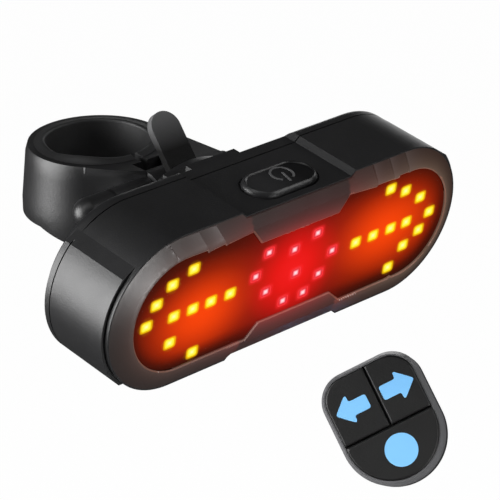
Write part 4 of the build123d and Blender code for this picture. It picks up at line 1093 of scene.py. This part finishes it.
def make_liner():
    """Rubber liner of the clamp with the wavy lip that stands out of the ring's top."""
    gap = math.degrees(math.asin(SPLIT_HALF / LINER_MIDDLE))
    count = 120
    angles = [-90 + gap + (360 - 2 * gap) * i / count for i in range(count + 1)]
    verts, faces = [], []
    for angle in angles:
        around = math.radians(angle)
        wave = sum(
            height * math.exp(-((angle - bearing) / spread) ** 2)
            for bearing, spread, height in LIP_WAVES
        )
        top = LIP_TOP + LIP_RISE * wave
        profile = [
            (POST_BORE, -RING_TOP), (POST_BORE, top - 0.7), (13.75, top - 0.2), (14.1, top),
            (LINER_MIDDLE, top - 0.05), (15.5, RING_TOP + (top - RING_TOP) * 0.45), (16.2, 9.35),
            (LIP_OUTER, 9.2), (16.45, 9.12), (LINER_OUTER, 9.12), (LINER_OUTER, -RING_TOP),
        ]
        verts += [(r * math.cos(around), r * math.sin(around), z) for r, z in profile]
    size = len(profile)
    for i in range(count):
        for k in range(size):
            m = (k + 1) % size
            faces.append((i * size + k, i * size + m, (i + 1) * size + m, (i + 1) * size + k))
    faces += [tuple(reversed(range(size))), tuple(range(count * size, (count + 1) * size))]
    liner = place_mesh("rubber_liner", verts, faces, Matrix.Scale(MM, 4), "clamp", RUBBER, 50)
    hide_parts("clamp_liner")


make_camera()
bpy.context.scene.view_settings.view_transform = "Standard"
make_room()
for lamp_values in LAMPS:
    area_lamp(*lamp_values)

BLACK = moulded_plastic("black_plastic", srgb(22, 22, 23), srgb(27, 27, 28), 0.4)
RUBBER = moulded_plastic(
    "black_rubber", srgb(20, 20, 21), srgb(26, 26, 27), 0.55, RUBBER_GRAIN, RUBBER_DEPTH,
)
KEYS = moulded_plastic(
    "key_rubber", srgb(11, 11, 11), srgb(15, 15, 15), 0.55, KEY_GRAIN, RUBBER_DEPTH,
)
# Painted shade: the power button's face runs from dark grey at its left to near black at its right.
BUTTON_FACE_SHADED = painted_light_plastic(
    "button_face_painted_shade", "X", (0.3, srgb(38, 38, 39)), (0.75, srgb(6, 6, 7)), 0.34, 0.4,
)
# Painted light: the release latch runs from near black low down to light grey at its top, where
# light falls on it.
LATCH_TOP_LIT = painted_light_plastic(
    "latch_plastic_painted_light", "Z", (0.66, srgb(3, 3, 3)), (1.0, srgb(104, 104, 105)), 0.5, 0.08,
)
SIGN = moulded_plastic("sign_grey", srgb(80, 80, 81), srgb(92, 92, 93), 0.4)
CASE = moulded_plastic("grey_case", srgb(98, 98, 100), srgb(108, 108, 110), 0.32)
STEEL = metal("steel", (0.55, 0.56, 0.58, 1.0), 0.3)
DARK_STEEL = metal("dark_steel", (0.05, 0.05, 0.052, 1.0), 0.4)
SILVER = metal("silver_foil", (0.75, 0.76, 0.78, 1.0), 0.35)
BOARD = moulded_plastic("board_green", srgb(20, 70, 38), srgb(26, 84, 46), 0.35)
CHIP = moulded_plastic("chip_black", srgb(20, 20, 20), srgb(28, 28, 28), 0.5)
FOAM = moulded_plastic(
    "grey_foam", srgb(60, 60, 60), srgb(76, 76, 76), 0.9, FOAM_GRAIN, FOAM_DEPTH,
)
WIRE = moulded_plastic("red_wire", srgb(170, 24, 20), srgb(186, 34, 28), 0.45)
WHITE = moulded_plastic("white_plug", srgb(222, 220, 210), srgb(232, 230, 222), 0.4)
BLUE_WITH_GLOW = moulded_plastic("blue_mark", srgb(128, 198, 252), srgb(134, 204, 254), 0.5)
# Painted light: the blue marks glow faintly, which makes them brighter than the lamps alone would.
blue_glow_shader = BLUE_WITH_GLOW.node_tree.nodes["Principled BSDF"]
blue_glow_shader.inputs["Emission Color"].default_value = srgb(120, 190, 250)
blue_glow_shader.inputs["Emission Strength"].default_value = 0.08
SMOKE = bezel_material("smoky_bezel", srgb(36, 32, 31), srgb(34, 17, 13), 0.34)
# Painted light: the bezel's inner edge is a lighter, orange-brown copy of the smoky plastic,
# standing for the edge lit by the lens.
SMOKE_EDGE_LIT = bezel_material("bezel_edge_lit", srgb(106, 72, 58), srgb(110, 62, 48), 0.3)
AMBER_FACE = glow_cap("amber_face", [
    (0.0, srgb(255, 255, 190)), (0.35, srgb(255, 252, 110)),
    (0.7, srgb(255, 242, 24)), (1.0, srgb(252, 230, 8)),
])
RED_FACE = glow_cap("red_face", [
    (0.0, srgb(255, 232, 236)), (0.2, srgb(255, 206, 212)), (0.42, srgb(252, 92, 108)),
    (0.56, srgb(224, 18, 32)), (0.74, srgb(240, 16, 26)), (0.88, srgb(255, 46, 52)),
    (1.0, srgb(250, 30, 34)),
])

paint(BLACK, "clamp_band", "pivot_cap_nut", "slide_holder", "front_shell", "back_cover",
      "slide_rail", "remote_base")
paint(LATCH_TOP_LIT, "release_latch")
paint(RUBBER, "usb_flap", "back_cover_seal", "remote_seal", "remote_saddle", "remote_strap")
paint(CASE, "remote_case")
paint(DARK_STEEL, "pivot_bolt", "pivot_washers")
paint(STEEL, "latch_pin", "usb_socket", "back_screws", "rail_screws",
      "remote_switches", "remote_cell", "remote_cell_clip", "remote_screws")
paint(SILVER, "battery_cell", "radio_module")
paint(BOARD, "led_board", "remote_board")
paint(CHIP, "control_chip", "power_switch")
paint(FOAM, "battery_pad")
paint(WIRE, "battery_lead")
paint(WHITE, "battery_plug")
round_edges("clamp_band")

make_lens()
make_bezel()
make_button()
make_keys()
make_marks()
make_liner()
for side_name, side_shares in (("left", LEFT_ARROW_SHARES), ("right", RIGHT_ARROW_SHARES)):
    make_lights(
        f"amber_lights_{side_name}", led_places(side_shares), AMBER_HALF,
        f"amber_leds_{side_name}", AMBER_FACE,
    )
make_lights("red_lights", RED, RED_HALF, "red_leds", RED_FACE)
